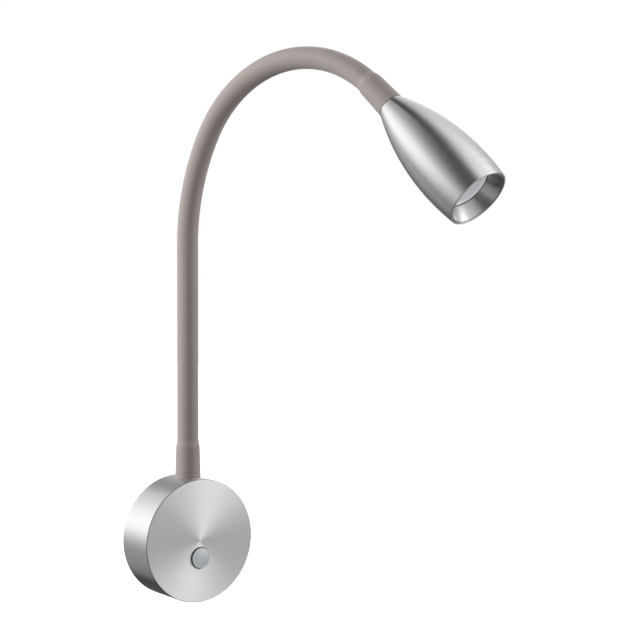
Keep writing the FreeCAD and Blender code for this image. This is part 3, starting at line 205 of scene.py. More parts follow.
# Away from the light the floor fades into the white surround, for the camera alone.
lift = tree.nodes.new("ShaderNodeEmission")
path = tree.nodes.new("ShaderNodeLightPath")
away = vector_node(tree, "LENGTH", tree.nodes.new("ShaderNodeTexCoord").outputs["Object"]).outputs["Value"]
fade_reach = 2.0
far = ramp(tree, math_node(tree, "DIVIDE", away, fade_reach), [(0.25, 0.12), (0.8, 1.0)])
wire(tree, math_node(tree, "MULTIPLY", path.outputs["Is Camera Ray"], far), lift.inputs["Strength"])
both = tree.nodes.new("ShaderNodeAddShader")
wire(tree, matt.outputs[0], both.inputs[0])
wire(tree, lift.outputs[0], both.inputs[1])
wire(tree, both.outputs[0], tree.nodes.new("ShaderNodeOutputMaterial").inputs["Surface"])
floor_mesh.materials.append(floor_paint)


def lamp(name, place, target, size, power, colour=(1.0, 1.0, 1.0), spread=180):
    """A soft lamp at a place, facing a target, with a spread in degrees; metal doesn't reflect it."""
    light = bpy.data.lights.new(name, "AREA")
    light.shape = "RECTANGLE"
    light.size, light.size_y = size
    light.energy = power
    light.color = colour
    light.spread = np.radians(spread)
    item = bpy.data.objects.new(name, light)
    away = np.array(place) - np.array(target)
    away = away / np.linalg.norm(away)
    aside = np.cross([0.0, 0.0, 1.0], away)
    aside = aside / np.linalg.norm(aside)
    turn_to(item, aside, np.cross(away, aside), away, place)
    item.visible_glossy = False
    scene.collection.objects.link(item)


middle = (0.0, -0.1, 0.15)
lamp("lamp_left", (-1.41, 0.51, 0.61), middle, (0.9, 1.2), 40, (0.95, 0.985, 1.0))
lamp("lamp_right", (1.28, -0.60, 0.97), middle, (0.8, 0.8), 21)
mouth = (0.045, -0.20, 0.27)
lamp("lamp_low", (0.19, -0.73, -0.25), mouth, (0.3, 0.3), 0.12, spread=40)

# ---- Wall plate, its grommet and its screws ----
# A steel plate with a bent hook and lug, pressed and zinc plated, with a rubber grommet in its cable hole.
# The plate is screwed to the wall through its two slots, and the drum hangs on the hook.


def fine_grain():
    """Shader group: two sizes of noise on Object coordinates, as a tone and as a height."""
    group = bpy.data.node_groups.new("fine_grain", "ShaderNodeTree")
    group.interface.new_socket("Scale", in_out="INPUT", socket_type="NodeSocketFloat")
    group.interface.new_socket("Tone", in_out="OUTPUT", socket_type="NodeSocketFloat")
    group.interface.new_socket("Height", in_out="OUTPUT", socket_type="NodeSocketFloat")
    start = group.nodes.new("NodeGroupInput")
    end = group.nodes.new("NodeGroupOutput")
    place = group.nodes.new("ShaderNodeTexCoord").outputs["Object"]
    coarse = group.nodes.new("ShaderNodeTexNoise")
    coarse.inputs["Detail"].default_value = 4
    wire(group, place, coarse.inputs["Vector"])
    wire(group, start.outputs["Scale"], coarse.inputs["Scale"])
    fine = group.nodes.new("ShaderNodeTexNoise")
    fine.inputs["Detail"].default_value = 2
    wire(group, place, fine.inputs["Vector"])
    wire(group, math_node(group, "MULTIPLY", start.outputs["Scale"], 9.0), fine.inputs["Scale"])
    wire(group, coarse.outputs["Fac"], end.inputs["Tone"])
    wire(group, fine.outputs["Fac"], end.inputs["Height"])
    return group


FINE_GRAIN = fine_grain()


def principled(name, **values):
    """A material with one Principled shader whose own sockets hold the given values."""
    made = bpy.data.materials.new(name)
    made.use_nodes = True
    shader = made.node_tree.nodes["Principled BSDF"]
    for key, value in values.items():
        shader.inputs[key.replace("_", " ")].default_value = value
    return made, made.node_tree, shader


def between(tree, mask, low, high, target):
    """Sends a mask into a socket.

    Two colours are mixed by it. For two numbers its middle half, 0.25 to 0.75, becomes low to high.
    """
    if isinstance(low, tuple):
        mix = tree.nodes.new("ShaderNodeMix")
        mix.data_type = "RGBA"
        mix.inputs["A"].default_value = (*low, 1)
        mix.inputs["B"].default_value = (*high, 1)
        wire(tree, mask, mix.inputs["Factor"])
        wire(tree, mix.outputs["Result"], target)
        return
    span = tree.nodes.new("ShaderNodeMapRange")
    span.inputs["From Min"].default_value = 0.25
    span.inputs["From Max"].default_value = 0.75
    span.inputs["To Min"].default_value = low
    span.inputs["To Max"].default_value = high
    wire(tree, mask, span.inputs["Value"])
    wire(tree, span.outputs["Result"], target)


def bump(tree, shader, height, depth):
    """Raises a surface by a height mask, depth metres high."""
    node = tree.nodes.new("ShaderNodeBump")
    node.inputs["Distance"].default_value = depth
    node.inputs["Strength"].default_value = 0.6
    wire(tree, height, node.inputs["Height"])
    wire(tree, node.outputs["Normal"], shader.inputs["Normal"])


def grained(name, dark, light, rough, scale, depth, **values):
    """A material with fine grain in its colour, its roughness and its surface."""
    made, tree, shader = principled(name, **values)
    grain = tree.nodes.new("ShaderNodeGroup")
    grain.node_tree = FINE_GRAIN
    grain.inputs["Scale"].default_value = scale
    between(tree, grain.outputs["Tone"], dark, light, shader.inputs["Base Color"])
    between(tree, grain.outputs["Tone"], rough - 0.05, rough + 0.07, shader.inputs["Roughness"])
    bump(tree, shader, grain.outputs["Height"], depth)
    return made


def clothe(material, *names):
    """Gives CAD nodes their material."""
    for name in names:
        mesh = nodes[name].data
        mesh.materials.clear()
        mesh.materials.append(material)


zinc = grained("zinc_plate", (0.52, 0.53, 0.53), (0.66, 0.66, 0.65), 0.34, 60, 0.00003, Metallic=1.0)
rubber = grained("black_rubber", (0.018, 0.018, 0.018), (0.035, 0.034, 0.033), 0.65, 300, 0.00004)
clothe(zinc, "wall_plate", "housing_screw", "block_screws", "driver_screws", "switch_screws", "earth_screw")
clothe(rubber, "cable_grommet")

# ---- Terminal block, earth lug and driver ----
# A moulded nylon block with brass screws, and the sealed driver: tray, lid, board and what is soldered on it.
# They are bought parts, screwed to the plate inside the drum.

nylon = grained("white_nylon", (0.74, 0.74, 0.71), (0.82, 0.82, 0.79), 0.45, 140, 0.00002)
brass = grained("brass", (0.62, 0.44, 0.16), (0.76, 0.57, 0.25), 0.3, 200, 0.00001, Metallic=1.0)
board_green = grained("green_board", (0.010, 0.075, 0.030), (0.020, 0.12, 0.045), 0.35, 500, 0.00001)
coil_tape = grained("coil_tape", (0.62, 0.47, 0.06), (0.74, 0.58, 0.10), 0.4, 260, 0.00003)
can_blue = grained("can_sleeve", (0.012, 0.03, 0.12), (0.02, 0.05, 0.18), 0.3, 200, 0.00001)
chip_black = grained("chip_black", (0.012, 0.012, 0.013), (0.024, 0.024, 0.024), 0.5, 400, 0.00002)
clothe(nylon, "terminal_block", "driver_case", "driver_lid")
clothe(brass, "terminal_screws", "earth_lug", "switch_tags")
clothe(board_green, "driver_board")
clothe(coil_tape, "driver_transformer")
clothe(can_blue, "driver_capacitors")
clothe(chip_black, "driver_chips", "switch_body", "button_stem", "lens_holder")

# ---- Leads in the drum ----
# Short single-core leads with smooth PVC insulation: brown supply, grey switch, green and yellow earth.
# They run from the terminal block and the switch's tags to the driver and the earth lug.

pvc_brown = grained("brown_pvc", (0.10, 0.045, 0.020), (0.13, 0.06, 0.028), 0.38, 300, 0.00001)
pvc_grey = grained("grey_pvc", (0.42, 0.42, 0.42), (0.50, 0.50, 0.50), 0.38, 300, 0.00001)
clothe(pvc_brown, "supply_leads")
clothe(pvc_grey, "switch_leads")


def earth_stripe():
    """Green insulation with one yellow stripe on the side that faces the drum's front."""
    made, tree, shader = principled("earth_pvc", Roughness=0.38)
    face = tree.nodes.new("ShaderNodeTexCoord").outputs["Normal"]
    split = tree.nodes.new("ShaderNodeSeparateXYZ")
    wire(tree, face, split.inputs[0])
    edge = ramp(tree, math_node(tree, "MULTIPLY_ADD", split.outputs["Y"], -0.5), [(0.70, 0.0), (0.74, 1.0)])
    between(tree, edge, (0.02, 0.16, 0.03), (0.75, 0.62, 0.03), shader.inputs["Base Color"])
    return made


clothe(earth_stripe(), "earth_lead")

# ---- Drum ----
# An aluminium cup, spun and brushed in rings, with a small rounded edge darkened by painted shade.
# Its face has an off-centre hole for the button. Inside are a ring boss with two ears for the switch,
# a ledge for the hook and a boss for the housing screw.

MM = 0.001
DRUM_TURN = np.array([[1.0, 0, 0], [0, 0, 1.0], [0, -1.0, 0]])


def rounded(corners, closed=True, step=3.0):
    """An outline through corners (radius, height, rounding, shift), walked with the solid on its left.

    A corner with a rounding becomes an arc tangent to both its sides, a rounding of 0 is a smooth
    point, and None is a sharp corner. Runs longer than step are divided. Gives the points as
    (radius, height, shift), and for each run its outward normals at the start and at the end.
    """
    count = len(corners)
    place = np.array([[c[0], c[1]] for c in corners], float)
    shift = np.array([c[3] if len(c) > 3 else 0.0 for c in corners])
    ahead_of = np.roll(place, -1, axis=0) - place
    length = np.maximum(np.linalg.norm(ahead_of, axis=1), 1e-9)
    ahead_of = ahead_of / length[:, None]
    stations = []
    for i in range(count):
        into, out = ahead_of[i - 1], ahead_of[i]
        if not closed and i in (0, count - 1):
            way = out if i == 0 else into
            stations.append([(*place[i], shift[i], way, way)])
            continue
        rounding = corners[i][2]
        if rounding is None:
            stations.append([(*place[i], shift[i], into, out)])
            continue
        if rounding == 0:
            mean = (into + out) / np.linalg.norm(into + out)
            stations.append([(*place[i], shift[i], mean, mean)])
            continue
        bend = np.arctan2(into[0] * out[1] - into[1] * out[0], into @ out)
        trim = min(rounding * np.tan(abs(bend) / 2), 0.45 * length[i - 1], 0.45 * length[i])
        radius = trim / np.tan(abs(bend) / 2)
        sign = np.sign(bend)
        centre = place[i] - into * trim + sign * radius * np.array([-into[1], into[0]])
        arc = []
        for part in np.linspace(0, bend, 6):
            c, s = np.cos(part), np.sin(part)
            way = np.array([c * into[0] - s * into[1], s * into[0] + c * into[1]])
            spot = centre + sign * radius * np.array([way[1], -way[0]])
            arc.append((*spot, shift[i], way, way))
        stations.append(arc)
    points, starts, ends = [], [], []
    for i in range(count):
        for a, b in zip(stations[i], stations[i][1:]):
            points.append(a[:3])
            starts.append(a[4])
            ends.append(b[3])
        last = stations[i][-1]
        if i == count - 1 and not closed:
            points.append(last[:3])
            break
        following = stations[(i + 1) % count][0]
        gap = np.hypot(following[0] - last[0], following[1] - last[1])
        pieces = max(1, int(np.ceil(gap / step)))
        for k in range(pieces):
            t, u = k / pieces, (k + 1) / pieces
            points.append(tuple((1 - t) * np.array(last[:3]) + t * np.array(following[:3])))
            starts.append((1 - t) * last[4] + t * following[3])
            ends.append((1 - u) * last[4] + u * following[3])
    ways = np.stack([np.array(starts), np.array(ends)], axis=1)
    normals = np.stack([ways[..., 1], -ways[..., 0]], axis=-1)
    return np.array(points), normals / np.linalg.norm(normals, axis=-1, keepdims=True), closed


def straight(origin, turn):
    """A straight spine: height runs along the third row of turn from the origin."""

    def spine(height):
        centre = np.array(origin, float) + height[:, None] * turn[2]
        return centre, *(np.broadcast_to(row, centre.shape) for row in turn)

    return spine


def spun(outline, spine, segments):
    """An outline carried round a spine.

    At angle a the point is centre(height) + shift * across + radius * (cos a * side + sin a * across),
    and the normal is the outline's own, turned by the same angle.
    """
    points, normals, closed = outline
    angle = np.arange(segments) * 2 * np.pi / segments
    centre, side, across, along = spine(points[:, 1])
    cos, sin = np.cos(angle)[None, :, None], np.sin(angle)[None, :, None]
    out = cos * side[:, None] + sin * across[:, None]
    rings = centre[:, None] + points[:, 2, None, None] * across[:, None] + points[:, 0, None, None] * out
    count = len(points)
    runs = count if closed else count - 1
    first = np.arange(runs)
    after = (first + 1) % count
    here = np.arange(segments)
    beyond = (here + 1) % segments
    number = np.arange(count * segments).reshape(count, segments)
    quads = np.stack(
        [
            number[first][:, here],
            number[first][:, beyond],
            number[after][:, beyond],
            number[after][:, here],
        ],
        axis=-1,
    )
    low = normals[:, 0, 0, None, None] * out[first] + normals[:, 0, 1, None, None] * along[first][:, None]
    high = normals[:, 1, 0, None, None] * out[after] + normals[:, 1, 1, None, None] * along[after][:, None]
    corner = np.stack([low, np.roll(low, -1, axis=1), np.roll(high, -1, axis=1), high], axis=2)
    return rings.reshape(-1, 3), quads.reshape(-1, 4), corner.reshape(-1, 4, 3)


def block(low, high, origin, turn):
    """A plain block between two corners of a frame, for ledges and bosses inside."""
    low, high = np.array(low, float), np.array(high, float)
    pick = np.array([[i >> 2 & 1, i >> 1 & 1, i & 1] for i in range(8)])
    spots = (low + pick * (high - low)) @ turn + np.array(origin, float)
    quads = np.array([[0, 1, 3, 2], [4, 6, 7, 5], [0, 4, 5, 1], [2, 3, 7, 6], [0, 2, 6, 4], [1, 5, 7, 3]])
    edge = np.cross(spots[quads[:, 1]] - spots[quads[:, 0]], spots[quads[:, 2]] - spots[quads[:, 0]])
    normal = edge / np.linalg.norm(edge, axis=1, keepdims=True)
    return spots, quads, np.repeat(normal[:, None], 4, axis=1)


def piece(name, surfaces, material):
    """One object from surfaces in millimetres, its poles merged, with their own normals."""
    spots, faces, normals = [], [], []
    offset = 0
    for vertices, quads, corner in surfaces:
        spots.append(vertices)
        faces.append(quads + offset)
        normals.append(corner)
        offset += len(vertices)
    spots = np.concatenate(spots) * MM
    faces = np.concatenate(faces)
    normals = np.concatenate(normals)
    merged, index = np.unique(np.round(spots / 1e-8).astype(np.int64), axis=0, return_inverse=True)
    first = np.zeros(len(merged), int)
    first[index.ravel()[::-1]] = np.arange(len(spots))[::-1]
    faces = index.ravel()[faces]
    keep = faces != np.roll(faces, 1, axis=1)
    keep &= keep.sum(axis=1, keepdims=True) > 2
    sides = keep.sum(axis=1)
    lists = np.split(faces[keep], np.cumsum(sides[sides > 0])[:-1])
    mesh = bpy.data.meshes.new(name)
    mesh.from_pydata(spots[first].tolist(), [], [face.tolist() for face in lists])
    mesh.polygons.foreach_set("use_smooth", np.ones(len(mesh.polygons), bool))
    mesh.normals_split_custom_set(normals[keep].tolist())
    mesh.materials.append(material)
    item = bpy.data.objects.new(name, mesh)
    scene.collection.objects.link(item)
    return item


def ring_brushing():
    """Shader group: brush lines round an axis.

    Noise is read at unit radius direction + axis * (distance from the axis + height) * fineness, so it
    runs round the axis in rings and changes fast across them.
    """
    group = bpy.data.node_groups.new("ring_brushing", "ShaderNodeTree")
    for name in ("Origin", "Axis"):
        group.interface.new_socket(name, in_out="INPUT", socket_type="NodeSocketVector")
    group.interface.new_socket("Fineness", in_out="INPUT", socket_type="NodeSocketFloat")
    group.interface.new_socket("Tone", in_out="OUTPUT", socket_type="NodeSocketFloat")
    group.interface.new_socket("Height", in_out="OUTPUT", socket_type="NodeSocketFloat")
    start = group.nodes.new("NodeGroupInput")
    end = group.nodes.new("NodeGroupOutput")
    place = group.nodes.new("ShaderNodeTexCoord").outputs["Object"]
    axis = start.outputs["Axis"]
    local = vector_node(group, "SUBTRACT", place, start.outputs["Origin"]).outputs["Vector"]
    height = vector_node(group, "DOT_PRODUCT", local, axis).outputs["Value"]
    on_axis = vector_node(group, "SCALE", axis, scale=height).outputs["Vector"]
    off_axis = vector_node(group, "SUBTRACT", local, on_axis).outputs["Vector"]
    distance = vector_node(group, "LENGTH", off_axis).outputs["Value"]
    outwards = vector_node(group, "NORMALIZE", off_axis).outputs["Vector"]
    reach_along = math_node(group, "ADD", distance, height)
    across = math_node(group, "MULTIPLY", reach_along, start.outputs["Fineness"])
    stretched = vector_node(group, "SCALE", axis, scale=across).outputs["Vector"]
    reading = vector_node(group, "ADD", outwards, stretched).outputs["Vector"]
    for scale, detail, socket in ((0.16, 5, "Tone"), (2.7, 3, "Height")):
        lines = group.nodes.new("ShaderNodeTexNoise")
        lines.inputs["Scale"].default_value = scale
        lines.inputs["Detail"].default_value = detail
        lines.inputs["Roughness"].default_value = 0.62
        wire(group, reading, lines.inputs["Vector"])
        wire(group, lines.outputs["Fac"], end.inputs[socket])
    return group


RING_BRUSHING = ring_brushing()


def brushed(name, origin, axis, dark, light, rough, end_rough=None, anisotropy=0.9, fineness=9000, edge=0.0):
    """Brushed metal turned about an axis; its highlight spreads along the outline, across the brush lines.

    A flat end, which faces along the axis, takes end_rough instead of rough. The rounded edges between
    the side and a flat end take one plain colour, darker by the share edge: painted shade that stands for the
    dark line such an edge reflects.
    """
    made, tree, shader = principled(name, Metallic=1.0, Anisotropic=anisotropy)
    lines = tree.nodes.new("ShaderNodeGroup")
    lines.node_tree = RING_BRUSHING
    lines.inputs["Origin"].default_value = origin
    lines.inputs["Axis"].default_value = axis
    lines.inputs["Fineness"].default_value = fineness
    line_depth = 0.000002
    bump(tree, shader, lines.outputs["Height"], line_depth)
    coordinates = tree.nodes.new("ShaderNodeTexCoord")
    facing = vector_node(tree, "DOT_PRODUCT", coordinates.outputs["Normal"], axis).outputs["Value"]
    steepness = math_node(tree, "ABSOLUTE", facing)
    end_mask = ramp(tree, steepness, [(0.90, 0.0), (0.97, 1.0)])
    # Painted shade: on the rounded edges between side and flat end the colour is the dark tone, darker by the
    # share edge.
    if edge:
        edge_shade_mask = ramp(tree, steepness, [(0.20, 0.0), (0.50, 1.0), (0.85, 1.0), (0.97, 0.0)])
        metal = tree.nodes.new("ShaderNodeMix")
        metal.data_type = "RGBA"
        metal.inputs["B"].default_value = (*(channel * (1 - edge) for channel in dark), 1)
        wire(tree, edge_shade_mask, metal.inputs["Factor"])
        between(tree, lines.outputs["Tone"], dark, light, metal.inputs["A"])
        wire(tree, metal.outputs["Result"], shader.inputs["Base Color"])
    else:
        between(tree, lines.outputs["Tone"], dark, light, shader.inputs["Base Color"])
    base_rough = math_node(tree, "MULTIPLY_ADD", end_mask, (end_rough or rough) - rough)
    base_rough.node.inputs[2].default_value = rough
    unevenness = 0.10
    uneven = math_node(tree, "MULTIPLY_ADD", lines.outputs["Tone"], unevenness)
    uneven.node.inputs[2].default_value = -unevenness / 2
    wire(tree, math_node(tree, "ADD", base_rough, uneven), shader.inputs["Roughness"])
    local = vector_node(tree, "SUBTRACT", coordinates.outputs["Object"], origin).outputs["Vector"]
    around = vector_node(tree, "CROSS_PRODUCT", axis, local).outputs["Vector"]
    along = vector_node(tree, "CROSS_PRODUCT", around, coordinates.outputs["Normal"]).outputs["Vector"]
    placed = tree.nodes.new("ShaderNodeVectorTransform")
    placed.vector_type = "VECTOR"
    placed.convert_from = "OBJECT"
    placed.convert_to = "WORLD"
    wire(tree, along, placed.inputs[0])
    wire(tree, placed.outputs[0], shader.inputs["Tangent"])
    return made


drum_radius, drum_depth, drum_wall, drum_face = 40.0, 30.0, 2.0, 2.5
inside_face = drum_depth - drum_face
button_drop, button_hole = -11.0, 7.05
boss_bore, boss_radius, boss_low = 8.0, 9.8, 19.0
drum_metal = brushed(
    "drum_metal",
    (0, 0, 0),
    (0, 1, 0),
    (0.67, 0.67, 0.66),
    (0.87, 0.87, 0.86),
    0.30,
    end_rough=0.56,
    # Painted shade on the rounded edges: their colour is the dark tone less 0.65 of it.
    edge=0.65,
)
drum_outline = rounded(
    [
        (button_hole, inside_face, 0.1, button_drop),
        (boss_bore, inside_face, 0.1, button_drop),
        (boss_bore, boss_low, 0.2, button_drop),
        (boss_radius, boss_low, 0.2, button_drop),
        (boss_radius, inside_face, 0.3, button_drop),
        (drum_radius - drum_wall, inside_face, 0.6),
        (drum_radius - drum_wall, 0.0, 0.15),
        (drum_radius, 0.0, 0.3),
        (drum_radius, drum_depth, 0.6),
        (button_hole, drum_depth, 0.12, button_drop),
    ]
)
ear_bore, ear_radius, ear_place, ear_floor, ear_root = 1.0, 2.5, 12.5, 24.95, 27.6
ear_outline = rounded(
    [(0, ear_floor, None), (ear_bore, ear_floor, None), (ear_bore, boss_low, 0.2)]
    + [(ear_radius, boss_low, 0.2), (ear_radius, ear_root, None), (0, ear_root, None)],
    closed=False,
)
hook_ledge = (-4, 34.4, 1.9), (4, 38.5, 3.9)
screw_boss = (-4, -38.5, 3.0), (4, -36.0, 11.0)
drum_parts = [spun(drum_outline, straight((0, 0, 0), DRUM_TURN), 256)]
for across in (-ear_place, ear_place):
    drum_parts.append(spun(ear_outline, straight((across, 0, button_drop), DRUM_TURN), 32))
for low, high in (hook_ledge, screw_boss):
    drum_parts.append(block(low, high, (0, 0, 0), DRUM_TURN))
drum = piece("drum", drum_parts, drum_metal)
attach(drum, "wall_base")
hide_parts("base_housing")

# ---- Push button ----
# A turned metal cap with a low dome and a rounded edge, finely brushed to a cooler, softer grey.
# It sits in the hole of the drum's face, and its flange stops it behind the face.
# A coil spring pushes it out.

cap_top, cap_dome, cap_radius, cap_edge = 31.5, 0.35, 6.65, 0.7
cap_bore, cap_roof, cap_skirt = 5.45, 29.5, 22.9
flange_radius, flange_low, flange_high = 7.6, 26.24, 27.44
shoulder = cap_radius - cap_edge
dome_reach = np.linspace(shoulder, 0.0, 8)
button_outline = rounded(
    [(0, cap_roof, None), (cap_bore, cap_roof, 0.2), (cap_bore, cap_skirt, 0.1)]
    + [(cap_radius, cap_skirt, 0.1), (cap_radius, flange_low, None)]
    + [(flange_radius, flange_low, 0.15), (flange_radius, flange_high, 0.15)]
    + [(cap_radius, flange_high, None), (cap_radius, cap_top - cap_dome, 0.45)]
    + [(r, cap_top - cap_dome * (r / shoulder) ** 2, 0) for r in dome_reach[:-1]]
    + [(0, cap_top, None)],
    closed=False,
    step=1.5,
)
button_metal = brushed(
    "button_metal",
    (0, 0, button_drop * MM),
    (0, 1, 0),
    (0.385, 0.405, 0.42),
    (0.455, 0.475, 0.49),
    0.42,
    anisotropy=0.3,
    fineness=14000,
)
button = piece("button", [spun(button_outline, straight((0, 0, button_drop), DRUM_TURN), 96)], button_metal)
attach(button, "button")
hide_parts("button_cap")

spring_low, spring_high, spring_turns = 19.275, 29.225, 4.0
spring_radius, wire_radius = 4.7, 0.25


def coil(turned):
    """The spring's line: a helix round the button's axis, by the angle turned."""
    climb = (spring_high - spring_low) / (2 * np.pi * spring_turns)
    out = np.cos(turned)[:, None] * DRUM_TURN[0] + np.sin(turned)[:, None] * DRUM_TURN[1]
    ahead_of = np.cos(turned)[:, None] * DRUM_TURN[1] - np.sin(turned)[:, None] * DRUM_TURN[0]
    height = spring_low + climb * turned
    centre = button_drop * DRUM_TURN[1] + spring_radius * out + height[:, None] * DRUM_TURN[2]
    along = (spring_radius * ahead_of + climb * DRUM_TURN[2]) / np.hypot(spring_radius, climb)
    return centre, out, np.cross(along, out), along


spring_end = 2 * np.pi * spring_turns
spring_outline = rounded(
    [(0, 0, None), (wire_radius, 0, None), (wire_radius, spring_end, None), (0, spring_end, None)],
    closed=False,
    step=0.2,
)
spring = piece("return_spring", [spun(spring_outline, coil, 12)], zinc)
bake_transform(spring)
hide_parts("button_spring")

# ---- Arm foot and head fixing ----
# Hollow threaded stems, nuts and a saddle washer, and a crimped steel ferrule at each end of the arm.
# The foot is clamped through the drum's wall, and the head's stem goes through its neck.

clothe(zinc, "arm_nipple", "arm_washer", "arm_nut", "base_ferrule", "head_ferrule", "head_stem", "head_nut")

# ---- Gooseneck sleeve ----
# One silicone sleeve, matt taupe, drawn over the arm, with a swollen stiff end over each ferrule.
# It is made in eight stretches that meet in the middle of each link, each one over one joint.

SLEEVE_BORE = 4.85
FERRULE_BORE = 6.0
ARM_TURN = np.radians(75.0)
ARM_OUT = np.array([np.cos(ARM_TURN), -np.sin(ARM_TURN), 0.0])
ARM_UP = np.array([0.0, 0.0, 1.0])
ARM_FOOT = np.array([0.0, -15.0, 0.0])
# Each run of the arm from its foot: its length, and its radius or 0 where it is straight.
RUNS = [(151.6, 0.0), (np.radians(29.5) * 143.0, 143.0), (np.radians(102.8) * 85.0, 85.0), (16.5, 0.0)]
ARM_LENGTH = sum(run for run, radius in RUNS)
FERRULE = 16.0
BENDS = 8
LINK = (ARM_LENGTH - 2 * FERRULE) / BENDS
JOINTS = FERRULE + LINK * (np.arange(BENDS) + 0.5)


def arm(distance):
    """The arm's centreline at distances from the drum's top: a straight rise, two arcs and a straight tail.

    Gives centre, side, across and along at each distance; beyond either end the line runs on straight.
    """
    distance = np.asarray(distance, float)
    spot = np.array([0.0, drum_radius])
    heading = np.pi / 2
    place = spot + distance[:, None] * np.array([0.0, 1.0])
    angle = np.full(len(distance), heading)
    begun = 0.0
    for run, radius in RUNS:
        beyond = distance > begun
        step = distance - begun
        way = np.array([np.cos(heading), np.sin(heading)])
        right = np.array([way[1], -way[0]])
        if radius:
            turned = step / radius
            bent = spot + radius * (np.sin(turned)[:, None] * way + (1 - np.cos(turned))[:, None] * right)
            place = np.where(beyond[:, None], bent, place)
            angle = np.where(beyond, heading - turned, angle)
            whole = run / radius
            spot = spot + radius * (np.sin(whole) * way + (1 - np.cos(whole)) * right)
            heading -= whole
        else:
            place = np.where(beyond[:, None], spot + step[:, None] * way, place)
            angle = np.where(beyond, heading, angle)
            spot = spot + run * way
        begun += run
    centre = ARM_FOOT + place[:, :1] * ARM_OUT + place[:, 1:] * ARM_UP
    along = np.cos(angle)[:, None] * ARM_OUT + np.sin(angle)[:, None] * ARM_UP
    side = -np.sin(angle)[:, None] * ARM_OUT + np.cos(angle)[:, None] * ARM_UP
    return centre, side, np.cross(along, side), along


MIDDLES = (JOINTS[:-1] + JOINTS[1:]) / 2


def across_joint(item, joint):
    """Bakes a stretch of the arm into place; the stretch runs from the middle of one link to the middle of
    the next.
    """
    spots = arm(np.array([JOINTS[joint] - LINK / 2, JOINTS[joint] + LINK / 2]))[0] * MM
    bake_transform(item)


sleeve_outside = 6.8
lip_radius, end_taper, end_length = 8.25, 0.6, 20.0
shoulder_start, shoulder_length = 19.2, 5.6
groove_depth, groove_place, groove_width = 0.13, 2.7, 0.28


def sleeve_radius(distance):
    """The sleeve's outside radius at a distance along the arm.

    Over the shoulder t runs from 0 to 1, and taper falls slowly from the lip:
    radius = taper + (sleeve_outside - taper) * t * t * (3 - 2 * t) - groove.
    The groove is shallow and runs round near the lip, groove_depth * exp(-((from_end - place) / width)^2).
    """
    from_end = np.minimum(distance, ARM_LENGTH - distance)
    taper = lip_radius - end_taper * np.clip(from_end, 0, end_length) / end_length
    t = np.clip((from_end - shoulder_start) / shoulder_length, 0, 1)
    groove = groove_depth * np.exp(-(((from_end - groove_place) / groove_width) ** 2))
    return taper + (sleeve_outside - taper) * t * t * (3 - 2 * t) - groove


def silicone():
    """Matt silicone with a faint uneven tone and a very fine dusty skin."""
    skin = {"Specular_IOR_Level": 0.55, "Sheen_Weight": 0.22, "Sheen_Roughness": 0.45}
    made, tree, shader = principled("taupe_silicone", **skin)
    grain = tree.nodes.new("ShaderNodeGroup")
    grain.node_tree = FINE_GRAIN
    grain.inputs["Scale"].default_value = 120
    tone = grain.outputs["Tone"]
    between(tree, tone, (0.268, 0.228, 0.213), (0.300, 0.256, 0.240), shader.inputs["Base Color"])
    between(tree, tone, 0.50, 0.58, shader.inputs["Roughness"])
    bump(tree, shader, grain.outputs["Height"], 0.00001)
    return made


taupe = silicone()
foot_sink = 1.3
sleeve_ends = np.concatenate([[-foot_sink], MIDDLES, [ARM_LENGTH]])
# Closer rings where the groove and the shoulder are.
boot_rings = np.concatenate([np.linspace(1.9, 3.5, 11), np.linspace(17, 26, 28)])
for k in range(BENDS):
    low, high = sleeve_ends[k], sleeve_ends[k + 1]
    rise_along = np.linspace(low, high, 40)
    at_foot, at_head = k == 0, k == BENDS - 1
    if at_foot:
        rise_along = np.unique(np.concatenate([rise_along, boot_rings]))
    if at_head:
        rise_along = np.unique(np.concatenate([rise_along, ARM_LENGTH - boot_rings]))
    bore_low = FERRULE_BORE if at_foot else SLEEVE_BORE
    bore_high = FERRULE_BORE if at_head else SLEEVE_BORE
    corners = [(bore_high, high, None)]
    if at_head:
        corners += [(FERRULE_BORE, ARM_LENGTH - FERRULE, None), (SLEEVE_BORE, ARM_LENGTH - FERRULE, None)]
    if at_foot:
        corners += [(SLEEVE_BORE, FERRULE, None), (FERRULE_BORE, FERRULE, None)]
    corners += [(bore_low, low, None), (float(sleeve_radius(low)), low, None)]
    corners += [(float(sleeve_radius(s)), s, 0) for s in rise_along[1:-1]]
    corners += [(float(sleeve_radius(high)), high, 0.35 if at_head else None)]
    stretch = piece(f"sleeve_stretch_{k + 1}", [spun(rounded(corners), arm, 96)], taupe)
    across_joint(stretch, k)
    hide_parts(f"sleeve_{k + 1}", f"sleeve_{k + 2}")

# ---- Conduit ----
# The flexible steel conduit inside the sleeve: round wire wound close, with a three-sided wire in its groove.
# It grips itself, so the arm stays where it is put. Its ends are crimped in the two ferrules.

steel_dark, steel_light = (0.20, 0.20, 0.21), (0.34, 0.34, 0.35)
conduit_steel = grained("conduit_steel", steel_dark, steel_light, 0.38, 300, 0.00001, Metallic=1.0)


def wound(low, high, outer=4.8, pitch=2.4, groove=0.45, bore=2.0, step=0.4, segments=36):
    """A tube whose outside is a close winding.

    At distance s and angle a the radius is outer - groove * (1 - |cos(pi * (s / pitch - a / 2 pi))|),
    and the tube closes through its bore.
    """
    distance = np.linspace(low, high, int(round((high - low) / step)))
    angle = np.arange(segments) * 2 * np.pi / segments
    centre, side, across, _ = arm(distance)
    phase = distance[:, None] / pitch - angle[None, :] / (2 * np.pi)
    radius = outer - groove * (1 - np.abs(np.cos(np.pi * phase)))
    out = np.cos(angle)[None, :, None] * side[:, None] + np.sin(angle)[None, :, None] * across[:, None]
    rings = np.concatenate([centre[:, None] + radius[..., None] * out, (centre[:, None] + bore * out)[::-1]])
    count = len(rings)
    number = np.arange(count * segments).reshape(count, segments)
    after = np.roll(number, -1, axis=0)
    quads = np.stack([number, np.roll(number, -1, axis=1), np.roll(after, -1, axis=1), after], axis=-1)
    return rings.reshape(-1, 3), quads.reshape(-1, 4)


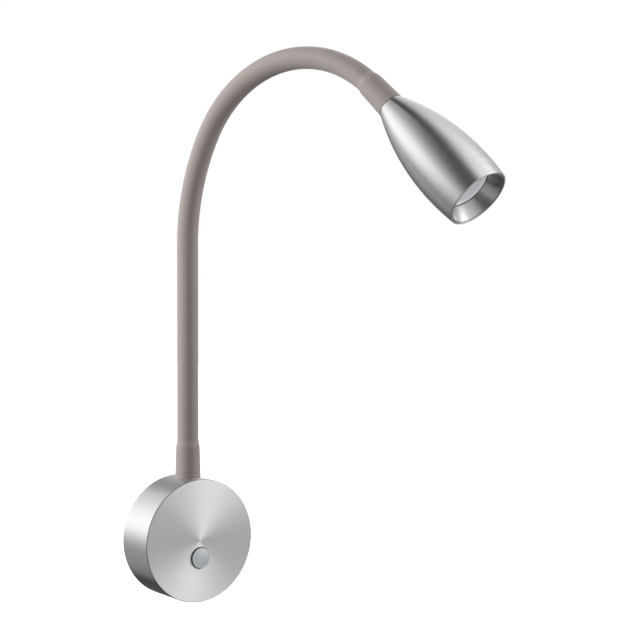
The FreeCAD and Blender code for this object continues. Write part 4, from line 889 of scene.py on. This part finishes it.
in_ferrule = FERRULE / 2
conduit_ends = np.concatenate([[in_ferrule], MIDDLES, [ARM_LENGTH - in_ferrule]])
for k in range(BENDS):
    spots, quads = wound(conduit_ends[k], conduit_ends[k + 1])
    mesh = bpy.data.meshes.new(f"conduit_{k + 1}")
    mesh.from_pydata((spots * MM).tolist(), [], quads.tolist())
    mesh.polygons.foreach_set("use_smooth", np.ones(len(mesh.polygons), bool))
    mesh.materials.append(conduit_steel)
    conduit = bpy.data.objects.new(f"conduit_{k + 1}", mesh)
    scene.collection.objects.link(conduit)
    across_joint(conduit, k)
    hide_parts(f"core_link_{k + 1}", f"core_link_{k + 2}")

# ---- Lamp lead ----
# A two-core lead with a round dark grey jacket, whole from the driver to the back of the lamp's board.
# Inside the drum it turns up into the stem; in the arm it lies in the conduit's bore.

jacket = grained("lead_jacket", (0.030, 0.030, 0.032), (0.048, 0.048, 0.050), 0.42, 400, 0.00001)
lead_radius, below_foot, past_head = 1.6, 6.0, 62.0
lead_ends = np.concatenate([[-below_foot], MIDDLES, [ARM_LENGTH + past_head]])
for k in range(BENDS):
    low, high = lead_ends[k], lead_ends[k + 1]
    outline = rounded(
        [(0, low, None), (lead_radius, low, None), (lead_radius, high, None), (0, high, None)],
        closed=False,
    )
    lead = piece(f"lamp_lead_{k + 1}", [spun(outline, arm, 20)], jacket)
    across_joint(lead, k)
    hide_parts("arm_lead")


def swept(points, radius, segments=20, samples=60):
    """A round lead along a smooth curve: a quadratic B-spline of the route's points.

    Each cross-section is a circle in the plane across the curve, its side square to one fixed direction.
    """
    points = np.array(points, float)
    knots = np.concatenate([[points[0]], points, [points[-1]]])
    spans = len(knots) - 2
    t = np.linspace(0, spans - 1e-6, samples)
    i = t.astype(int)
    u = (t - i)[:, None]
    line = 0.5 * ((1 - u) ** 2 * knots[i] + (1 + 2 * u - 2 * u * u) * knots[i + 1] + u * u * knots[i + 2])
    along = np.gradient(line, axis=0)
    along = along / np.linalg.norm(along, axis=1, keepdims=True)
    fixed = np.array([0.0, 1.0, 0.3])
    side = np.cross(along, fixed)
    side = side / np.linalg.norm(side, axis=1, keepdims=True)
    across = np.cross(along, side)

    def spine(height):
        k = np.clip(height, 0, samples - 1).astype(int)
        return line[k], side[k], across[k], along[k]

    corners = [(0, 0, None), (radius, 0, None)]
    corners += [(radius, k, 0) for k in range(1, samples - 1)]
    corners += [(radius, samples - 1, None), (0, samples - 1, None)]
    return spun(rounded(corners, closed=False, step=1e6), spine, segments)


lead_route = [(-13.8, -11.12, 8.8), (-6.0, -11.12, 8.8), (0, -11.3, 9.6), (0, -14.6, 26.0), (0, -15.0, 34.0)]
lead_foot = piece("lamp_lead_foot", [swept(lead_route, lead_radius)], jacket)
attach(lead_foot, "wall_base")
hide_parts("arm_lead")

# ---- Head shell ----
# An aluminium bullet, turned and satin brushed in rings.
# Its outline is one long arc from the neck past the crown to the mouth.
# The arm's stem comes through its thick neck, and a nut inside holds it.

head_length, crown, crown_place, neck = 81.0, 20.8, 60.5, 8.05
shell_wall, neck_wall, stem_bore = 1.2, 3.5, 5.0
swell = crown - neck
shell_arc = (crown_place**2 + swell**2) / (2 * swell)


def head(height):
    """The head's axis: the arm's line run on past its end."""
    return arm(ARM_LENGTH + np.asarray(height, float))


def shell_radius(height, wall=0.0):
    """The shell's radius at a height from the neck, for a wall's outside or its inner side."""
    return crown - shell_arc + np.sqrt((shell_arc - wall) ** 2 - (height - crown_place) ** 2)


head_origin, *_, head_axis = (row[0] for row in head([0.0]))
head_metal = brushed(
    "head_metal",
    tuple(head_origin * MM),
    tuple(head_axis),
    (0.68, 0.68, 0.67),
    (0.87, 0.87, 0.86),
    0.31,
)
outer_heights = np.linspace(0, head_length, 61)
inner_heights = np.linspace(head_length, neck_wall, 58)
shell_corners = [(stem_bore, 0.0, 0.15), (neck, 0.0, 0.3)]
shell_corners += [(float(shell_radius(z)), z, 0) for z in outer_heights[1:-1]]
shell_corners += [(float(shell_radius(head_length)), head_length, 0.3)]
shell_corners += [(float(shell_radius(head_length, shell_wall)), head_length, 0.25)]
shell_corners += [(float(shell_radius(z, shell_wall)), z, 0) for z in inner_heights[1:-1]]
shell_corners += [(float(shell_radius(neck_wall, shell_wall)), neck_wall, 0.5), (stem_bore, neck_wall, 0.15)]
shell = piece("head_shell_skin", [spun(rounded(shell_corners), head, 224)], head_metal)
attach(shell, "lamp_head")
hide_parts("head_shell")

# ---- Heat sink and lamp ----
# A turned aluminium heat sink with round fins, screwed on the stem, and the lamp's white board on its front.
# The yellow emitter sits on the board, behind the frosted lens.

sink_dark, sink_light = (0.60, 0.60, 0.61), (0.72, 0.72, 0.73)
sink_metal = grained("sink_aluminium", sink_dark, sink_light, 0.36, 240, 0.00001, Metallic=1.0)
mask_white = grained("white_mask", (0.78, 0.78, 0.78), (0.84, 0.84, 0.83), 0.35, 400, 0.00001)
phosphor = grained("phosphor", (0.78, 0.55, 0.06), (0.86, 0.64, 0.10), 0.45, 900, 0.00002)
clothe(sink_metal, "heat_sink")
clothe(mask_white, "led_board")
clothe(phosphor, "led_chip")
clothe(zinc, "board_screws")

# ---- Glare ring ----
# A turned cone, satin finished, that screws into the heat sink's rim and clamps the lens.
# It lines the mouth from the lens out to the shell's rim.

mouth_depth, lens_edge, gasket_gap, lip_sink = 9.3, 1.5, 0.4, 0.4
ring_play, thread_play, sink_rim = 0.3, 0.38, 1.7
rim_depth, thread_run_out = 7.0, 1.125
lens_front = head_length - mouth_depth
ring_seat = lens_front + gasket_gap
ring_lip = head_length - lip_sink
ring_radius = float(shell_radius(ring_lip, shell_wall)) - ring_play
thread_radius = float(shell_radius(head_length, shell_wall)) - thread_play - sink_rim
ring_low = lens_front - lens_edge - rim_depth + thread_run_out
ring_bore, cone_bore, cone_lip, ring_shoulder = 14.2, 13.55, 0.45, 1.1
ring_metal = brushed(
    "ring_metal",
    tuple(head_origin * MM),
    tuple(head_axis),
    (0.58, 0.575, 0.56),
    (0.84, 0.835, 0.82),
    0.34,
)
ring_corners = [
    (ring_bore, ring_low, 0.1),
    (thread_radius, ring_low, 0.1),
    (thread_radius, ring_seat + ring_shoulder, 0.2),
    (ring_radius, ring_lip - ring_shoulder, 0.2),
    (ring_radius, ring_lip, 0.12),
    (ring_radius - cone_lip, ring_lip, 0.12),
    (cone_bore, ring_seat, 0.1),
    (ring_bore, ring_seat, 0.05),
]
glare = piece("glare_cone", [spun(rounded(ring_corners, step=1.0), head, 192)], ring_metal)
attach(glare, "lamp_head")
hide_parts("glare_ring")

# ---- Lens and its gasket ----
# A moulded lens, frosted by a fine stipple, milky and slightly blue, with a paler band at its edge.
# A thin dark gasket shows as a line between it and the cone.


def frosted():
    """Milky plastic with a fine stipple, and a paler speckled band along its edge.

    The band's mask is a ramp of edge_scale * (distance from the front's middle + speckle * stipple).
    """
    stipple_scale, speckle, edge_scale = 1500, 0.0008, 60.0
    milky = {"Roughness": 0.34, "IOR": 1.49, "Coat_Weight": 0.15, "Coat_Roughness": 0.25}
    made, tree, shader = principled("frosted_lens", **milky)
    place = tree.nodes.new("ShaderNodeTexCoord").outputs["Object"]
    cells = tree.nodes.new("ShaderNodeTexVoronoi")
    cells.inputs["Scale"].default_value = stipple_scale
    wire(tree, place, cells.inputs["Vector"])
    lens_middle = tuple((head_origin + lens_front * head_axis) * MM)
    local = vector_node(tree, "DISTANCE", place, lens_middle).outputs["Value"]
    uneven = math_node(tree, "MULTIPLY_ADD", cells.outputs["Distance"], speckle)
    wire(tree, local, uneven.node.inputs[2])
    edge = ramp(tree, math_node(tree, "MULTIPLY", uneven, edge_scale), [(0.622, 0.0), (0.655, 1.0)])
    mix = tree.nodes.new("ShaderNodeMix")
    mix.data_type = "RGBA"
    wire(tree, edge, mix.inputs["Factor"])
    between(tree, cells.outputs["Distance"], (0.60, 0.60, 0.70), (0.92, 0.92, 0.96), mix.inputs["A"])
    mix.inputs["B"].default_value = (0.97, 0.97, 0.97, 1)
    wire(tree, mix.outputs["Result"], shader.inputs["Base Color"])
    bump(tree, shader, cells.outputs["Distance"], 0.00006)
    return made


lens_back = lens_front - lens_edge
lens_radius, prism_radius, prism_tip, prism_depth = 13.9, 12.7, 6.5, 3.0
lens_corners = [
    (0, lens_back - prism_depth, None),
    (prism_tip, lens_back - prism_depth, 0.3),
    (prism_radius, lens_back, 0.2),
    (lens_radius, lens_back, 0.1),
    (lens_radius, lens_front, 0.15),
    (0, lens_front, None),
]
lens = piece("frosted_lens", [spun(rounded(lens_corners, closed=False, step=1.0), head, 128)], frosted())
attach(lens, "lamp_head")
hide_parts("lens")
gasket_bore, gasket_top = 13.35, ring_seat - 0.02
gasket_corners = [
    (gasket_bore, lens_front, 0.08),
    (lens_radius, lens_front, 0.05),
    (lens_radius, gasket_top, 0.05),
    (gasket_bore, gasket_top, 0.12),
]
gasket = piece("gasket_line", [spun(rounded(gasket_corners), head, 128)], rubber)
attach(gasket, "lamp_head")
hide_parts("lens_gasket")
